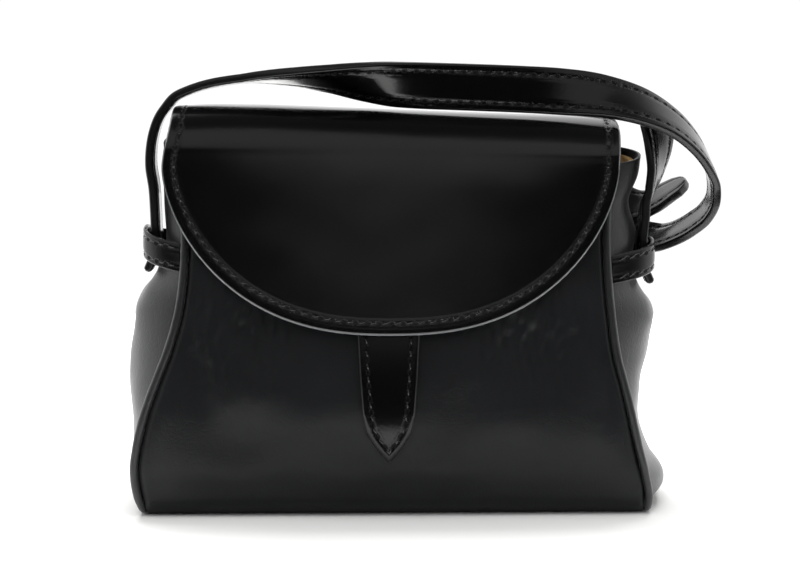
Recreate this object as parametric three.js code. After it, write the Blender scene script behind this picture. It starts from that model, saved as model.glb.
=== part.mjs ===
// A small flap bag of black leather, in millimetres, +Z up, front toward -Y.
// The origin is the middle of the flat base, on the surface that the bag stands on.
import * as THREE from 'three';

// Driving sizes of the body
const panelHalfWidth = 121.5;
const seamHalfDepth = 43;
const frontPanelHeight = 172;
const backPanelHeight = 180;
const panelWall = 1.8;
const bellyDepth = 7;
const cornerRadius = 8;
const pipingRadius = 2;
const gussetWall = 1.8;
const gussetBulge = 30;
const sagDrop = 6.5;
const gussetFullness = 2.4;
const clearance = 0.3;
const seamClearance = 1.15;
const grooveWidth = 1;

// Driving sizes of the flap
const flapHalfWidth = 108.5;
const flapThickness = 2.5;
const flapTop = 192.6;
const flapSideLevel = 165;
const flapDrop = 77;
const flapNarrowingLeft = 4;
const flapNarrowingRight = -1;
const flapSideCurl = 12;
const flapCentre = -1.5;
const flapEndDroop = 1.6;
const flapRoundness = 2.5;
const flapEdgeEase = 0.6;
const flapSagLevel = 155;
const flapOverTab = 0.9;

// Driving sizes of the closure tab
const tabHalfWidth = 15.2;
const tabThickness = 2.8;
const tabTop = 112;
const tabTip = 29;
const tabCentre = -3;

// Driving sizes of the side bands
const bandHeight = 13.5;
const bandThickness = 2;
const bandLevel = 122.5;
const bandRise = 6.5;
const bandBulgeLeft = 19;
const bandBulgeRight = 22.8;
const bandFullness = 4.3;

// Driving sizes of the straps and their buckle
const strapWidth = 22.5;
const strapThickness = 4.6;
const strapEdgeShare = 0.88;
const strapEndLength = 5.5;
const strapEndFlare = 2.5;
const strapBandGap = 1.8;
const strapMiddleBack = -1.3;
const buckleWall = 2.2;
const buckleLength = 12;
const buckleClearance = 0.6;
const longStrapBuckleRow = 41;

// Driving sizes of the lining
const liningWall = 0.9;
const liningClearance = 1.3;
const liningRimDrop = 3;
const liningFloor = 5;
const liningFaceSteps = 7;
const liningSideSteps = 6;
const liningLevels = [1, 0.9, 0.8, 0.74, 0.69, 0.65, 0.61, 0.55, 0.45, 0.33, 0.22, 0.13, 0.07];

// Half widths, depth, belly and grooves of the side seams by height, as shares of their sizes
const seamRows = [
  { up: 0.00, left: 0.985, right: 1.000, out: 1.000, belly: 0.00, grooveLeft: 0.90, grooveRight: 0.33 },
  { up: 0.08, left: 1.018, right: 1.000, out: 1.000, belly: 0.35, grooveLeft: 1.00, grooveRight: 0.40 },
  { up: 0.15, left: 1.022, right: 0.975, out: 1.000, belly: 0.70, grooveLeft: 1.00, grooveRight: 0.45 },
  { up: 0.27, left: 0.988, right: 0.938, out: 0.978, belly: 0.95, grooveLeft: 1.00, grooveRight: 0.45 },
  { up: 0.36, left: 0.944, right: 0.912, out: 0.938, belly: 1.00, grooveLeft: 0.85, grooveRight: 0.40 },
  { up: 0.47, left: 0.884, right: 0.875, out: 0.868, belly: 0.95, grooveLeft: 0.60, grooveRight: 0.35 },
  { up: 0.58, left: 0.843, right: 0.856, out: 0.775, belly: 0.80, grooveLeft: 0.40, grooveRight: 0.33 },
  { up: 0.71, left: 0.824, right: 0.842, out: 0.655, belly: 0.55, grooveLeft: 0.33, grooveRight: 0.33 },
  { up: 0.85, left: 0.828, right: 0.842, out: 0.510, belly: 0.30, grooveLeft: 0.33, grooveRight: 0.33 },
  { up: 1.00, left: 0.845, right: 0.860, out: 0.380, belly: 0.15, grooveLeft: 0.33, grooveRight: 0.33 },
];

// Outward bulge of the gussets by height, as shares of gussetBulge
const bulgeRows = [
  { up: 0.00, left: 0.05, right: 0.22 },
  { up: 0.07, left: 0.10, right: 0.42 },
  { up: 0.14, left: 0.10, right: 0.29 },
  { up: 0.25, left: 0.24, right: 0.19 },
  { up: 0.36, left: 0.48, right: 0.37 },
  { up: 0.45, left: 0.66, right: 0.60 },
  { up: 0.54, left: 0.76, right: 0.78 },
  { up: 0.59, left: 0.72, right: 0.80 },
  { up: 0.645, left: 0.49, right: 0.60 },
  { up: 0.70, left: 0.40, right: 0.52 },
  { up: 0.79, left: 0.38, right: 0.55 },
  { up: 0.88, left: 0.36, right: 0.42 },
  { up: 0.95, left: 0.34, right: 0.54 },
  { up: 1.00, left: 0.32, right: 0.56 },
];

// Soft dents of the front panel: place and reach as shares of its half width and height,
// push as a share of bellyDepth, inward where negative
const dentRows = [
  { across: -0.42, up: 0.52, wide: 0.20, high: 0.11, push: -0.40 },
  { across: 0.50, up: 0.52, wide: 0.18, high: 0.11, push: -0.40 },
  { across: -0.72, up: 0.48, wide: 0.12, high: 0.16, push: 0.30 },
  { across: 0.76, up: 0.44, wide: 0.12, high: 0.20, push: 0.30 },
];

// The flap's fold seen from the side: depth as shares of seamHalfDepth, height of flapTop
const foldRows = [
  { back: 0.655, up: 0.775 },
  { back: 0.605, up: 0.875 },
  { back: 0.510, up: 0.948 },
  { back: 0.290, up: 0.991 },
  { back: 0.000, up: 1.000 },
  { back: -0.290, up: 0.996 },
  { back: -0.510, up: 0.976 },
  { back: -0.625, up: 0.940 },
  { back: -0.690, up: 0.890 },
];

// The tab's outline from its top to its tip, as shares of its length and half width
const tabRows = [
  { down: 0.00, half: 1.00 },
  { down: 0.25, half: 0.97 },
  { down: 0.50, half: 0.90 },
  { down: 0.72, half: 0.81 },
  { down: 0.83, half: 0.70 },
  { down: 0.91, half: 0.46 },
  { down: 0.97, half: 0.20 },
  { down: 1.00, half: 0.06 },
];

// Route of the long strap past its end: the middle's place as shares of panelHalfWidth,
// seamHalfDepth and flapTop, and the direction from its rear edge to its front edge
const longStrapRows = [
  { across: -0.952, back: -0.03, up: 0.725, edge: [0.00, -1.00, 0.00] },
  { across: -0.957, back: -0.03, up: 0.799, edge: [0.00, -1.00, 0.00] },
  { across: -0.969, back: -0.03, up: 0.861, edge: [0.00, -1.00, 0.00] },
  { across: -0.960, back: -0.03, up: 0.924, edge: [0.00, -1.00, 0.00] },
  { across: -0.934, back: -0.03, up: 0.974, edge: [0.00, -1.00, 0.02] },
  { across: -0.903, back: -0.03, up: 1.003, edge: [0.00, -1.00, 0.04] },
  { across: -0.867, back: -0.03, up: 1.028, edge: [0.00, -1.00, 0.05] },
  { across: -0.806, back: -0.04, up: 1.046, edge: [0.00, -1.00, 0.06] },
  { across: -0.725, back: -0.04, up: 1.061, edge: [0.00, -1.00, 0.07] },
  { across: -0.600, back: -0.05, up: 1.073, edge: [0.00, -1.00, 0.08] },
  { across: -0.500, back: -0.08, up: 1.077, edge: [0.00, -0.98, 0.18] },
  { across: -0.383, back: -0.12, up: 1.077, edge: [0.00, -0.95, 0.33] },
  { across: -0.252, back: -0.16, up: 1.073, edge: [0.00, -0.84, 0.54] },
  { across: -0.113, back: -0.21, up: 1.066, edge: [0.00, -0.59, 0.81] },
  { across: 0.000, back: -0.26, up: 1.061, edge: [0.00, -0.30, 0.95] },
  { across: 0.110, back: -0.28, up: 1.058, edge: [0.00, -0.14, 0.99] },
  { across: 0.301, back: -0.30, up: 1.054, edge: [0.00, -0.05, 1.00] },
  { across: 0.503, back: -0.31, up: 1.049, edge: [0.00, 0.00, 1.00] },
  { across: 0.665, back: -0.33, up: 1.043, edge: [0.00, 0.20, 0.98] },
  { across: 0.827, back: -0.33, up: 1.032, edge: [0.05, 0.50, 0.86] },
  { across: 0.985, back: -0.30, up: 1.006, edge: [0.22, 0.72, 0.66] },
  { across: 1.110, back: -0.23, up: 0.966, edge: [0.26, 0.88, 0.40] },
  { across: 1.198, back: -0.14, up: 0.918, edge: [0.23, 0.95, 0.22] },
  { across: 1.258, back: -0.05, up: 0.866, edge: [0.15, 0.98, 0.08] },
  { across: 1.296, back: 0.05, up: 0.810, edge: [0.04, 1.00, 0.02] },
  { across: 1.297, back: 0.09, up: 0.763, edge: [0.00, 0.99, 0.10] },
  { across: 1.268, back: 0.14, up: 0.726, edge: [0.00, 0.98, 0.20] },
  { across: 1.218, back: 0.21, up: 0.697, edge: [0.00, 0.97, 0.23] },
  { across: 1.150, back: 0.37, up: 0.668, edge: [0.00, 0.98, 0.20] },
  { across: 1.085, back: 0.62, up: 0.650, edge: [0.15, 0.92, 0.30] },
  { across: 1.000, back: 0.93, up: 0.640, edge: [0.30, 0.55, 0.80] },
  { across: 0.880, back: 1.13, up: 0.635, edge: [0.10, 0.12, 1.00] },
  { across: 0.690, back: 1.24, up: 0.632, edge: [0.00, 0.00, 1.00] },
  { across: 0.450, back: 1.26, up: 0.636, edge: [-0.02, 0.00, 1.00] },
  { across: 0.250, back: 1.30, up: 0.652, edge: [-0.05, 0.00, 1.00] },
  { across: 0.170, back: 1.44, up: 0.672, edge: [0.00, 0.00, 1.00] },
  { across: 0.240, back: 1.58, up: 0.696, edge: [0.00, 0.00, 1.00] },
  { across: 0.400, back: 1.62, up: 0.726, edge: [-0.20, 0.00, 0.98] },
  { across: 0.560, back: 1.60, up: 0.752, edge: [-0.28, 0.00, 0.96] },
  { across: 0.720, back: 1.50, up: 0.765, edge: [-0.18, 0.04, 0.98] },
  { across: 0.880, back: 1.30, up: 0.745, edge: [-0.05, 0.30, 0.95] },
  { across: 1.020, back: 1.12, up: 0.725, edge: [-0.05, 0.75, 0.60] },
  { across: 1.093, back: 1.07, up: 0.735, edge: [-0.08, 0.94, 0.34] },
  { across: 1.167, back: 1.05, up: 0.763, edge: [-0.10, 0.97, 0.22] },
];

// The long strap's round tip, as shares of its half width
const tipRows = [
  { along: 0.00, half: 1.00 },
  { along: 0.45, half: 0.88 },
  { along: 0.80, half: 0.58 },
  { along: 1.00, half: 0.20 },
];

// Route of the short strap between its end and the buckle, in the same columns
const shortStrapRows = [
  { across: 1.014, back: 0.00, up: 0.725, edge: [0.05, 1.00, 0.00] },
  { across: 1.022, back: 0.00, up: 0.762, edge: [0.12, 1.00, 0.00] },
  { across: 1.041, back: 0.00, up: 0.795, edge: [0.26, 0.97, 0.00] },
  { across: 1.060, back: 0.00, up: 0.843, edge: [0.40, 0.92, 0.00] },
  { across: 1.068, back: 0.02, up: 0.892, edge: [0.59, 0.81, 0.00] },
  { across: 1.067, back: 0.07, up: 0.942, edge: [0.72, 0.69, 0.00] },
  { across: 1.055, back: 0.15, up: 0.982, edge: [0.77, 0.64, 0.00] },
  { across: 1.015, back: 0.30, up: 1.006, edge: [0.72, 0.70, 0.00] },
  { across: 0.935, back: 0.53, up: 1.007, edge: [0.64, 0.77, 0.00] },
  { across: 0.835, back: 0.82, up: 0.980, edge: [0.68, 0.66, -0.22] },
  { across: 0.745, back: 1.06, up: 0.922, edge: [0.75, 0.30, -0.52] },
  { across: 0.680, back: 1.24, up: 0.850, edge: [0.66, 0.08, -0.66] },
];

const leather = { color: '#17181a', roughness: 0.34 };

// A smooth value of one column at a share, through the rows on both sides of it
function readColumn(rows, key, column, share) {
  const last = rows.length - 1;
  const held = Math.min(Math.max(share, rows[0][key]), rows[last][key]);
  let i = 0;
  while (i < last - 1 && held > rows[i + 1][key]) i += 1;
  const a = rows[i];
  const b = rows[i + 1];
  const before = rows[Math.max(i - 1, 0)];
  const after = rows[Math.min(i + 2, last)];
  const step = b[key] - a[key];
  const t = (held - a[key]) / step;
  const slopeA = (b[column] - before[column]) / (b[key] - before[key]);
  const slopeB = (after[column] - a[column]) / (after[key] - a[key]);
  const t2 = t * t;
  const t3 = t2 * t;
  return a[column] * (2 * t3 - 3 * t2 + 1) + b[column] * (3 * t2 - 2 * t3)
    + slopeA * step * (t3 - 2 * t2 + t) + slopeB * step * (t3 - t2);
}

function mix(a, b, t) {
  return a + (b - a) * t;
}

function smooth(t) {
  const held = Math.min(Math.max(t, 0), 1);
  return held * held * (3 - 2 * held);
}

// The bag leans down a little toward its right side, above a level and over a reach
function sag(point, level = 0, reach = 0.7 * frontPanelHeight) {
  const across = smooth((point.x / panelHalfWidth + 1) / 2);
  const height = smooth((point.z - level) / reach);
  return new THREE.Vector3(point.x, point.y, point.z - sagDrop * across * height);
}

// Closed body from two grids of points, the second behind the first
function sheet(face, back) {
  const rows = face.length;
  const columns = face[0].length;
  const points = [...face.flat(), ...back.flat()];
  const half = rows * columns;
  const faces = [];
  const at = (i, j) => i * columns + j;
  for (let i = 0; i < rows - 1; i += 1) {
    for (let j = 0; j < columns - 1; j += 1) {
      const [a, b, c, d] = [at(i, j), at(i, j + 1), at(i + 1, j + 1), at(i + 1, j)];
      faces.push([a, b, c], [a, c, d]);
      faces.push([a + half, c + half, b + half], [a + half, d + half, c + half]);
    }
  }
  const rim = [];
  for (let j = 0; j < columns - 1; j += 1) rim.push(at(0, j));
  for (let i = 0; i < rows - 1; i += 1) rim.push(at(i, columns - 1));
  for (let j = columns - 1; j > 0; j -= 1) rim.push(at(rows - 1, j));
  for (let i = rows - 1; i > 0; i -= 1) rim.push(at(i, 0));
  rim.forEach((a, k) => {
    const b = rim[(k + 1) % rim.length];
    faces.push([a, a + half, b + half], [a, b + half, b]);
  });
  return solid(points, faces);
}

// Closed body from rings of points, with a flat cap on both ends
function loft(rings) {
  const count = rings[0].length;
  const points = rings.flat();
  const faces = [];
  for (let i = 0; i < rings.length - 1; i += 1) {
    for (let j = 0; j < count; j += 1) {
      const a = i * count + j;
      const b = i * count + (j + 1) % count;
      faces.push([a, b, b + count], [a, b + count, a + count]);
    }
  }
  const end = (rings.length - 1) * count;
  for (let j = 1; j < count - 1; j += 1) {
    faces.push([0, j + 1, j], [end, end + j, end + j + 1]);
  }
  return solid(points, faces);
}

// Indexed geometry with its faces turned outward
function solid(points, faces) {
  let volume = 0;
  for (const [a, b, c] of faces) {
    volume += points[a].dot(points[b].clone().cross(points[c]));
  }
  const turned = volume > 0 ? faces : faces.map(([a, b, c]) => [a, c, b]);
  const geometry = new THREE.BufferGeometry().setFromPoints(points);
  geometry.setIndex(turned.flat());
  geometry.computeVertexNormals();
  return geometry;
}

// Depth of the seam's middle line at a height, with the round corner above the base
function seamOut(z, height) {
  const cornerTop = pipingRadius + cornerRadius;
  const out = seamHalfDepth * readColumn(seamRows, 'up', 'out', z / height);
  if (z >= cornerTop) return out;
  const drop = Math.min(cornerTop - z, cornerRadius);
  return out - cornerRadius + Math.sqrt(cornerRadius ** 2 - drop ** 2);
}

// Distance of a side seam from the middle plane at a height
function seamAcross(side, z, height) {
  const column = side < 0 ? 'left' : 'right';
  return panelHalfWidth * readColumn(seamRows, 'up', column, z / height);
}

function bulge(side, up) {
  const column = side < 0 ? 'left' : 'right';
  return gussetBulge * readColumn(bulgeRows, 'up', column, up);
}

// How far the front or back of the panel stands out past its seams
function bellyOut(facing, x, z, height) {
  const edge = seamAcross(Math.sign(x) || 1, z, height);
  const across = x / edge;
  let out = bellyDepth * readColumn(seamRows, 'up', 'belly', z / height) * (1 - across * across);
  if (facing > 0) return out;
  for (const dent of dentRows) {
    const reach = ((x / panelHalfWidth - dent.across) / dent.wide) ** 2
      + ((z / height - dent.up) / dent.high) ** 2;
    out += bellyDepth * dent.push * Math.exp(-reach) * Math.max(0, 1 - across ** 6);
  }
  return out;
}

// Depth of the panel's outer face, positive outward, on its front (-1) or back (1)
function panelOut(facing, x, z) {
  const height = facing < 0 ? frontPanelHeight : backPanelHeight;
  return seamOut(z, height) + pipingRadius + bellyOut(facing, x, z, height);
}

// The seam from the front rim round the base to the back rim, with its inward direction
function seamStations(levels, cornerSteps) {
  const cornerTop = pipingRadius + cornerRadius;
  const front = [];
  for (let i = 0; i < levels; i += 1) {
    const up = mix(1, cornerTop / frontPanelHeight, i / levels);
    front.push({ rise: up, turn: 0 });
  }
  for (let i = 0; i <= cornerSteps; i += 1) {
    front.push({ rise: null, turn: (Math.PI / 2) * (i / cornerSteps) });
  }
  const place = (station, facing) => {
    const height = facing < 0 ? frontPanelHeight : backPanelHeight;
    const z = station.rise === null
      ? cornerTop - cornerRadius * Math.sin(station.turn) : station.rise * height;
    return { facing, height, z, out: seamOut(z, height), turn: station.turn };
  };
  return {
    front: front.map((station) => place(station, -1)),
    back: front.map((station) => place(station, 1)),
  };
}

// How far a panel's edge stands from the middle, inside the groove along its piping
function panelEdge(side, z, height) {
  const column = side < 0 ? 'grooveLeft' : 'grooveRight';
  const groove = grooveWidth * readColumn(seamRows, 'up', column, z / height);
  return seamAcross(side, z, height) - pipingRadius - groove;
}

// A point of the panel at a station, some way in from its outer face
function panelPoint(station, share, depth) {
  const { facing, height, z, out, turn } = station;
  const left = -panelEdge(-1, z, height);
  const right = panelEdge(1, z, height);
  const x = mix(left, right, share);
  const lean = Math.cos(turn);
  const outward = pipingRadius + bellyOut(facing, x, z, height) * lean - depth;
  const y = facing * (out + outward * lean);
  return new THREE.Vector3(x, y, z - (pipingRadius - depth) * Math.sin(turn));
}

function bodyPanel() {
  const { front, back } = seamStations(13, 4);
  const stations = [...front, ...back.reverse()];
  const columns = 14;
  const grid = (depth) => stations.map((station) => {
    const row = [];
    for (let j = 0; j <= columns; j += 1) row.push(sag(panelPoint(station, j / columns, depth)));
    return row;
  });
  return sheet(grid(0), grid(panelWall));
}

// Share of the bulge across a gusset, from the front seam (0) to the back seam (1)
function acrossGusset(t, fullness) {
  return 1 - Math.abs(2 * t - 1) ** fullness;
}

// A gusset's outer face at a height share and a share of the way from front to back
function gussetPoint(side, up, t) {
  const zFront = up * frontPanelHeight;
  const zBack = up * backPanelHeight;
  const across = mix(seamAcross(side, zFront, frontPanelHeight),
    seamAcross(side, zBack, backPanelHeight), t);
  const inset = pipingRadius + clearance;
  const y = mix(-(seamOut(zFront, frontPanelHeight) - inset),
    seamOut(zBack, backPanelHeight) - inset, t);
  const x = across + bulge(side, up) * acrossGusset(t, gussetFullness);
  return new THREE.Vector3(side * x, y, mix(zFront, zBack, t));
}

function gusset(side) {
  const { front, back } = seamStations(17, 4);
  const columns = 10;
  const inset = pipingRadius + 3 * clearance;
  const grid = (depth) => front.map((station, i) => {
    const row = [];
    const lift = inset * Math.sin(station.turn);
    const pull = inset * Math.cos(station.turn);
    for (let j = 0; j <= columns; j += 1) {
      const t = j / columns;
      const z = mix(station.z, back[i].z, t);
      const across = mix(seamAcross(side, station.z, station.height),
        seamAcross(side, back[i].z, back[i].height), t);
      const up = mix(station.z / station.height, back[i].z / back[i].height, t);
      const x = across + bulge(side, up) * acrossGusset(t, gussetFullness) - depth;
      const y = mix(-(station.out - pull), back[i].out - pull, t);
      row.push(sag(new THREE.Vector3(side * x, y, z + lift)));
    }
    return row;
  });
  return sheet(grid(0), grid(gussetWall));
}

// A round welt swept along one side's seam from the front rim to the back rim
function piping(side) {
  const { front, back } = seamStations(14, 4);
  const place = (station, reach) => sag(new THREE.Vector3(
    side * seamAcross(side, station.z, station.height),
    station.facing * station.out * reach,
    station.z + clearance / 2,
  ));
  const base = front[front.length - 1];
  const underside = [0.8, 0.4, 0, -0.4, -0.8].map((reach) => place(base, reach));
  const route = [
    ...front.map((station) => place(station, 1)),
    ...underside,
    ...back.reverse().map((station) => place(station, 1)),
  ];
  const section = new THREE.Shape();
  section.absarc(0, 0, pipingRadius, 0, Math.PI * 2);
  return new THREE.ExtrudeGeometry(section, {
    extrudePath: new THREE.CatmullRomCurve3(route),
    steps: 52,
    curveSegments: 4,
    bevelEnabled: false,
  });
}

// Side view of the flap's inner face: shares of its way from the back edge to the front edge
function flapProfile(edgeLevel) {
  const points = foldRows.map((row) => new THREE.Vector3(0, row.back * seamHalfDepth, row.up * flapTop));
  const foldEnd = points[points.length - 1];
  const lowest = flapSideLevel - flapDrop;
  const share = (foldEnd.z - edgeLevel) / (foldEnd.z - lowest);
  const overTab = tabThickness + clearance + flapOverTab;
  const edgeY = mix(foldEnd.y, -(panelOut(-1, tabCentre, lowest) + overTab), share);
  points.push(new THREE.Vector3(0, mix(foldEnd.y, edgeY, 0.5), mix(foldEnd.z, edgeLevel, 0.5)));
  points.push(new THREE.Vector3(0, edgeY, edgeLevel));
  return new THREE.CatmullRomCurve3(points, false, 'centripetal');
}

function flap() {
  const columns = 22;
  const foldSteps = 14;
  const dropSteps = 5;
  const face = [];
  const back = [];
  for (let j = 0; j <= columns; j += 1) {
    const angle = -Math.PI / 2 + (Math.PI * j) / columns;
    const across = Math.sin(angle);
    const round = (1 - Math.abs(across) ** flapRoundness) ** flapEdgeEase;
    const edgeLevel = flapSideLevel - flapDrop * round;
    const profile = flapProfile(edgeLevel);
    const foldShare = (foldRows.length - 1) / (foldRows.length + 1);
    const outer = [];
    const inner = [];
    for (let i = 0; i <= foldSteps + dropSteps; i += 1) {
      const t = i <= foldSteps ? (foldShare * i) / foldSteps
        : mix(foldShare, 1, (i - foldSteps) / dropSteps);
      const point = profile.getPoint(t);
      const tangent = profile.getTangent(t);
      const normal = new THREE.Vector3(0, tangent.z, -tangent.y);
      const drop = Math.max(0, (flapSideLevel + 10 - point.z) / flapDrop) * (point.y < 0 ? 1 : 0);
      const topness = smooth((point.z - flapSideLevel) / (flapTop - flapSideLevel));
      const narrowing = across < 0 ? flapNarrowingLeft : flapNarrowingRight;
      const x = flapCentre + across * (flapHalfWidth - narrowing * topness);
      const curl = flapSideCurl * across * across * drop;
      const droop = flapEndDroop * across ** 8 * topness;
      const base = new THREE.Vector3(x, point.y + curl, point.z - droop);
      inner.push(sag(base, flapSagLevel, flapTop - flapSagLevel));
      const outside = base.clone().addScaledVector(normal, flapThickness);
      outer.push(sag(outside, flapSagLevel, flapTop - flapSagLevel));
    }
    face.push(outer);
    back.push(inner);
  }
  return sheet(face, back);
}

function closureTab() {
  const columns = 6;
  const grid = (depth) => tabRows.map((row) => {
    const line = [];
    const z = mix(tabTop, tabTip, row.down);
    for (let j = 0; j <= columns; j += 1) {
      const x = tabCentre + tabHalfWidth * row.half * mix(-1, 1, j / columns);
      line.push(sag(new THREE.Vector3(x, -(panelOut(-1, x, z) + clearance + depth), z)));
    }
    return line;
  });
  return sheet(grid(tabThickness), grid(0));
}

// Inner face of a side band at a share of its way from the front seam to the back seam
function bandAcross(side, t) {
  const out = (side < 0 ? bandBulgeLeft : bandBulgeRight) * acrossGusset(t, bandFullness);
  return seamAcross(side, bandLevel, frontPanelHeight) + out + 2 * clearance;
}

// A band across a gusset and over the strap's end, from the front seam to the back seam
function sideBand(side) {
  const columns = 18;
  const rings = [];
  for (let j = 0; j <= columns; j += 1) {
    const t = mix(0.02, 0.98, j / columns);
    const level = bandLevel + bandRise * acrossGusset(t, 2);
    const ring = [];
    for (const [outward, upward] of [[0, -0.5], [1, -0.5], [1, 0.5], [0, 0.5]]) {
      const z = level + upward * bandHeight;
      const up = z / mix(frontPanelHeight, backPanelHeight, t);
      const hold = gussetPoint(side, up, t);
      const across = bandAcross(side, t) + outward * bandThickness;
      ring.push(sag(new THREE.Vector3(side * across, hold.y, z)));
    }
    rings.push(ring);
  }
  return loft(rings);
}

// Middle points and width directions of a strap from its rows
function rowPlaces(rows) {
  return rows.map((row) => ({
    middle: new THREE.Vector3(row.across * panelHalfWidth, row.back * seamHalfDepth, row.up * flapTop),
    edge: new THREE.Vector3(...row.edge),
  }));
}

// A strap's end under its side band, flared out a little below it
function strapEnd(side) {
  const middleLevel = bandLevel + bandRise;
  const across = bandAcross(side, 0.5) - strapBandGap - strapThickness / 2;
  const place = (level, out) => ({
    middle: sag(new THREE.Vector3(side * (across + out), strapMiddleBack, level)),
    edge: new THREE.Vector3(0, side, 0),
  });
  return [
    place(middleLevel - bandHeight / 2 - strapEndLength, strapEndFlare),
    place(middleLevel - bandHeight / 3, 0),
    place(middleLevel + bandHeight / 2, 0),
  ];
}

function longStrapPlaces() {
  return [...strapEnd(-1), ...rowPlaces(longStrapRows)];
}

// Middle line and width direction of a strap, read at a share of its route
function strapRoute(places) {
  const route = new THREE.CatmullRomCurve3(places.map((place) => place.middle), false, 'centripetal');
  const edges = new THREE.CatmullRomCurve3(places.map((place) => place.edge));
  return (t) => {
    const middle = route.getPoint(t);
    const along = route.getTangent(t);
    const edge = edges.getPoint(t);
    edge.addScaledVector(along, -edge.dot(along)).normalize();
    const normal = along.clone().cross(edge).normalize();
    return { middle, along, edge, normal };
  };
}

// A strap's section: two thinner edges and a raised middle
function strapRing({ middle, edge, normal }, widthShare) {
  const half = (strapWidth / 2) * widthShare;
  const thick = strapThickness / 2;
  const thin = thick * strapEdgeShare;
  const corners = [[-1, -thin], [0, -thick], [1, -thin], [1, thin], [0, thick], [-1, thin]];
  return corners.map(([across, out]) => middle.clone()
    .addScaledVector(edge, across * half)
    .addScaledVector(normal, out));
}

function strapLong() {
  const read = strapRoute(longStrapPlaces());
  const steps = 92;
  const rings = [];
  for (let i = 0; i <= steps; i += 1) rings.push(strapRing(read(i / steps), 1));
  const end = read(1);
  for (const row of tipRows.slice(1)) {
    const middle = end.middle.clone().addScaledVector(end.along, (row.along * strapWidth) / 2);
    rings.push(strapRing({ ...end, middle }, row.half));
  }
  return loft(rings);
}

// The long strap's place in the buckle, with its face toward the bag as the normal
function buckleSeat() {
  const places = longStrapPlaces();
  const seat = strapRoute(places)(longStrapBuckleRow / (places.length - 1));
  if (seat.normal.y > 0) seat.normal.negate();
  return seat;
}

// The short strap ends in the buckle, side by side with the long one
function strapShort() {
  const seat = buckleSeat();
  const ends = [[1.9, 3.6], [0.8, 1.15], [-0.4, 1]].map(([along, apart]) => ({
    middle: seat.middle.clone().addScaledVector(seat.along, along * buckleLength)
      .addScaledVector(seat.normal, apart * strapThickness + clearance),
    edge: seat.edge.clone().negate(),
  }));
  const read = strapRoute([...strapEnd(1), ...rowPlaces(shortStrapRows), ...ends]);
  const steps = 36;
  const rings = [];
  for (let i = 0; i <= steps; i += 1) rings.push(strapRing(read(i / steps), 1));
  return loft(rings);
}

// A plain sleeve round both straps where they meet behind the bag
function strapBuckle() {
  const seat = buckleSeat();
  const reach = new THREE.Vector2(
    strapWidth / 2 + buckleClearance,
    strapThickness + clearance / 2 + buckleClearance,
  );
  const outline = (grow) => [[-1, -1], [1, -1], [1, 1], [-1, 1]].map(([across, out]) => (
    new THREE.Vector2(across * (reach.x + grow), out * (reach.y + grow))));
  const shape = new THREE.Shape(outline(buckleWall));
  shape.holes.push(new THREE.Path(outline(0)));
  const geometry = new THREE.ExtrudeGeometry(shape, { depth: buckleLength, bevelEnabled: false });
  geometry.translate(0, 0, -buckleLength / 2);
  const deep = seat.along.clone().cross(seat.edge);
  geometry.applyMatrix4(new THREE.Matrix4().makeBasis(seat.edge, deep, seat.along));
  const centre = seat.middle.addScaledVector(seat.normal, (strapThickness + clearance) / 2);
  return geometry.translate(centre.x, centre.y, centre.z);
}

// Height of the lining at a share of the bag's height, on its front (-1) or back (1)
function liningHeight(facing, level) {
  const height = facing < 0 ? frontPanelHeight : backPanelHeight;
  return level * (height - liningRimDrop);
}

// The lining's way along the front or the back panel, at one level
function liningFace(facing, level, inset) {
  const height = facing < 0 ? frontPanelHeight : backPanelHeight;
  const z = liningHeight(facing, level);
  const left = -(seamAcross(-1, z, height) - inset - seamClearance);
  const right = seamAcross(1, z, height) - inset - seamClearance;
  const points = [];
  for (let j = 0; j <= liningFaceSteps; j += 1) {
    const x = mix(left, right, j / liningFaceSteps);
    points.push(new THREE.Vector3(x, facing * (panelOut(facing, x, z) - inset), z));
  }
  return points;
}

// The lining's way along a gusset from front to back, at one level
function liningSide(side, level, depth) {
  const zFront = liningHeight(-1, level);
  const zBack = liningHeight(1, level);
  const acrossFront = seamAcross(side, zFront, frontPanelHeight);
  const acrossBack = seamAcross(side, zBack, backPanelHeight);
  const reachFront = seamOut(zFront, frontPanelHeight) - pipingRadius - liningClearance;
  const reachBack = seamOut(zBack, backPanelHeight) - pipingRadius - liningClearance;
  const points = [];
  for (let j = 0; j <= liningSideSteps; j += 1) {
    const t = j / liningSideSteps;
    const z = mix(zFront, zBack, t);
    const up = z / mix(frontPanelHeight, backPanelHeight, t);
    const out = bulge(side, up) * acrossGusset(t, gussetFullness);
    const across = mix(acrossFront, acrossBack, t) + out - gussetWall - liningClearance - depth;
    points.push(new THREE.Vector3(side * across, mix(-reachFront, reachBack, t), z));
  }
  return points;
}

function liningRing(level, depth) {
  const inset = panelWall + liningClearance + depth;
  return [
    ...liningFace(-1, level, inset),
    ...liningSide(1, level, depth),
    ...liningFace(1, level, inset).reverse(),
    ...liningSide(-1, level, depth).reverse(),
  ].map((point) => sag(point));
}

// The cloth lining: one open cup inside the panel and the gussets
function lining() {
  const inside = liningLevels.map((level) => liningRing(level, liningWall)).reverse();
  const outside = liningLevels.map((level) => liningRing(level, 0));
  return cup([...inside, ...outside]);
}

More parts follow.
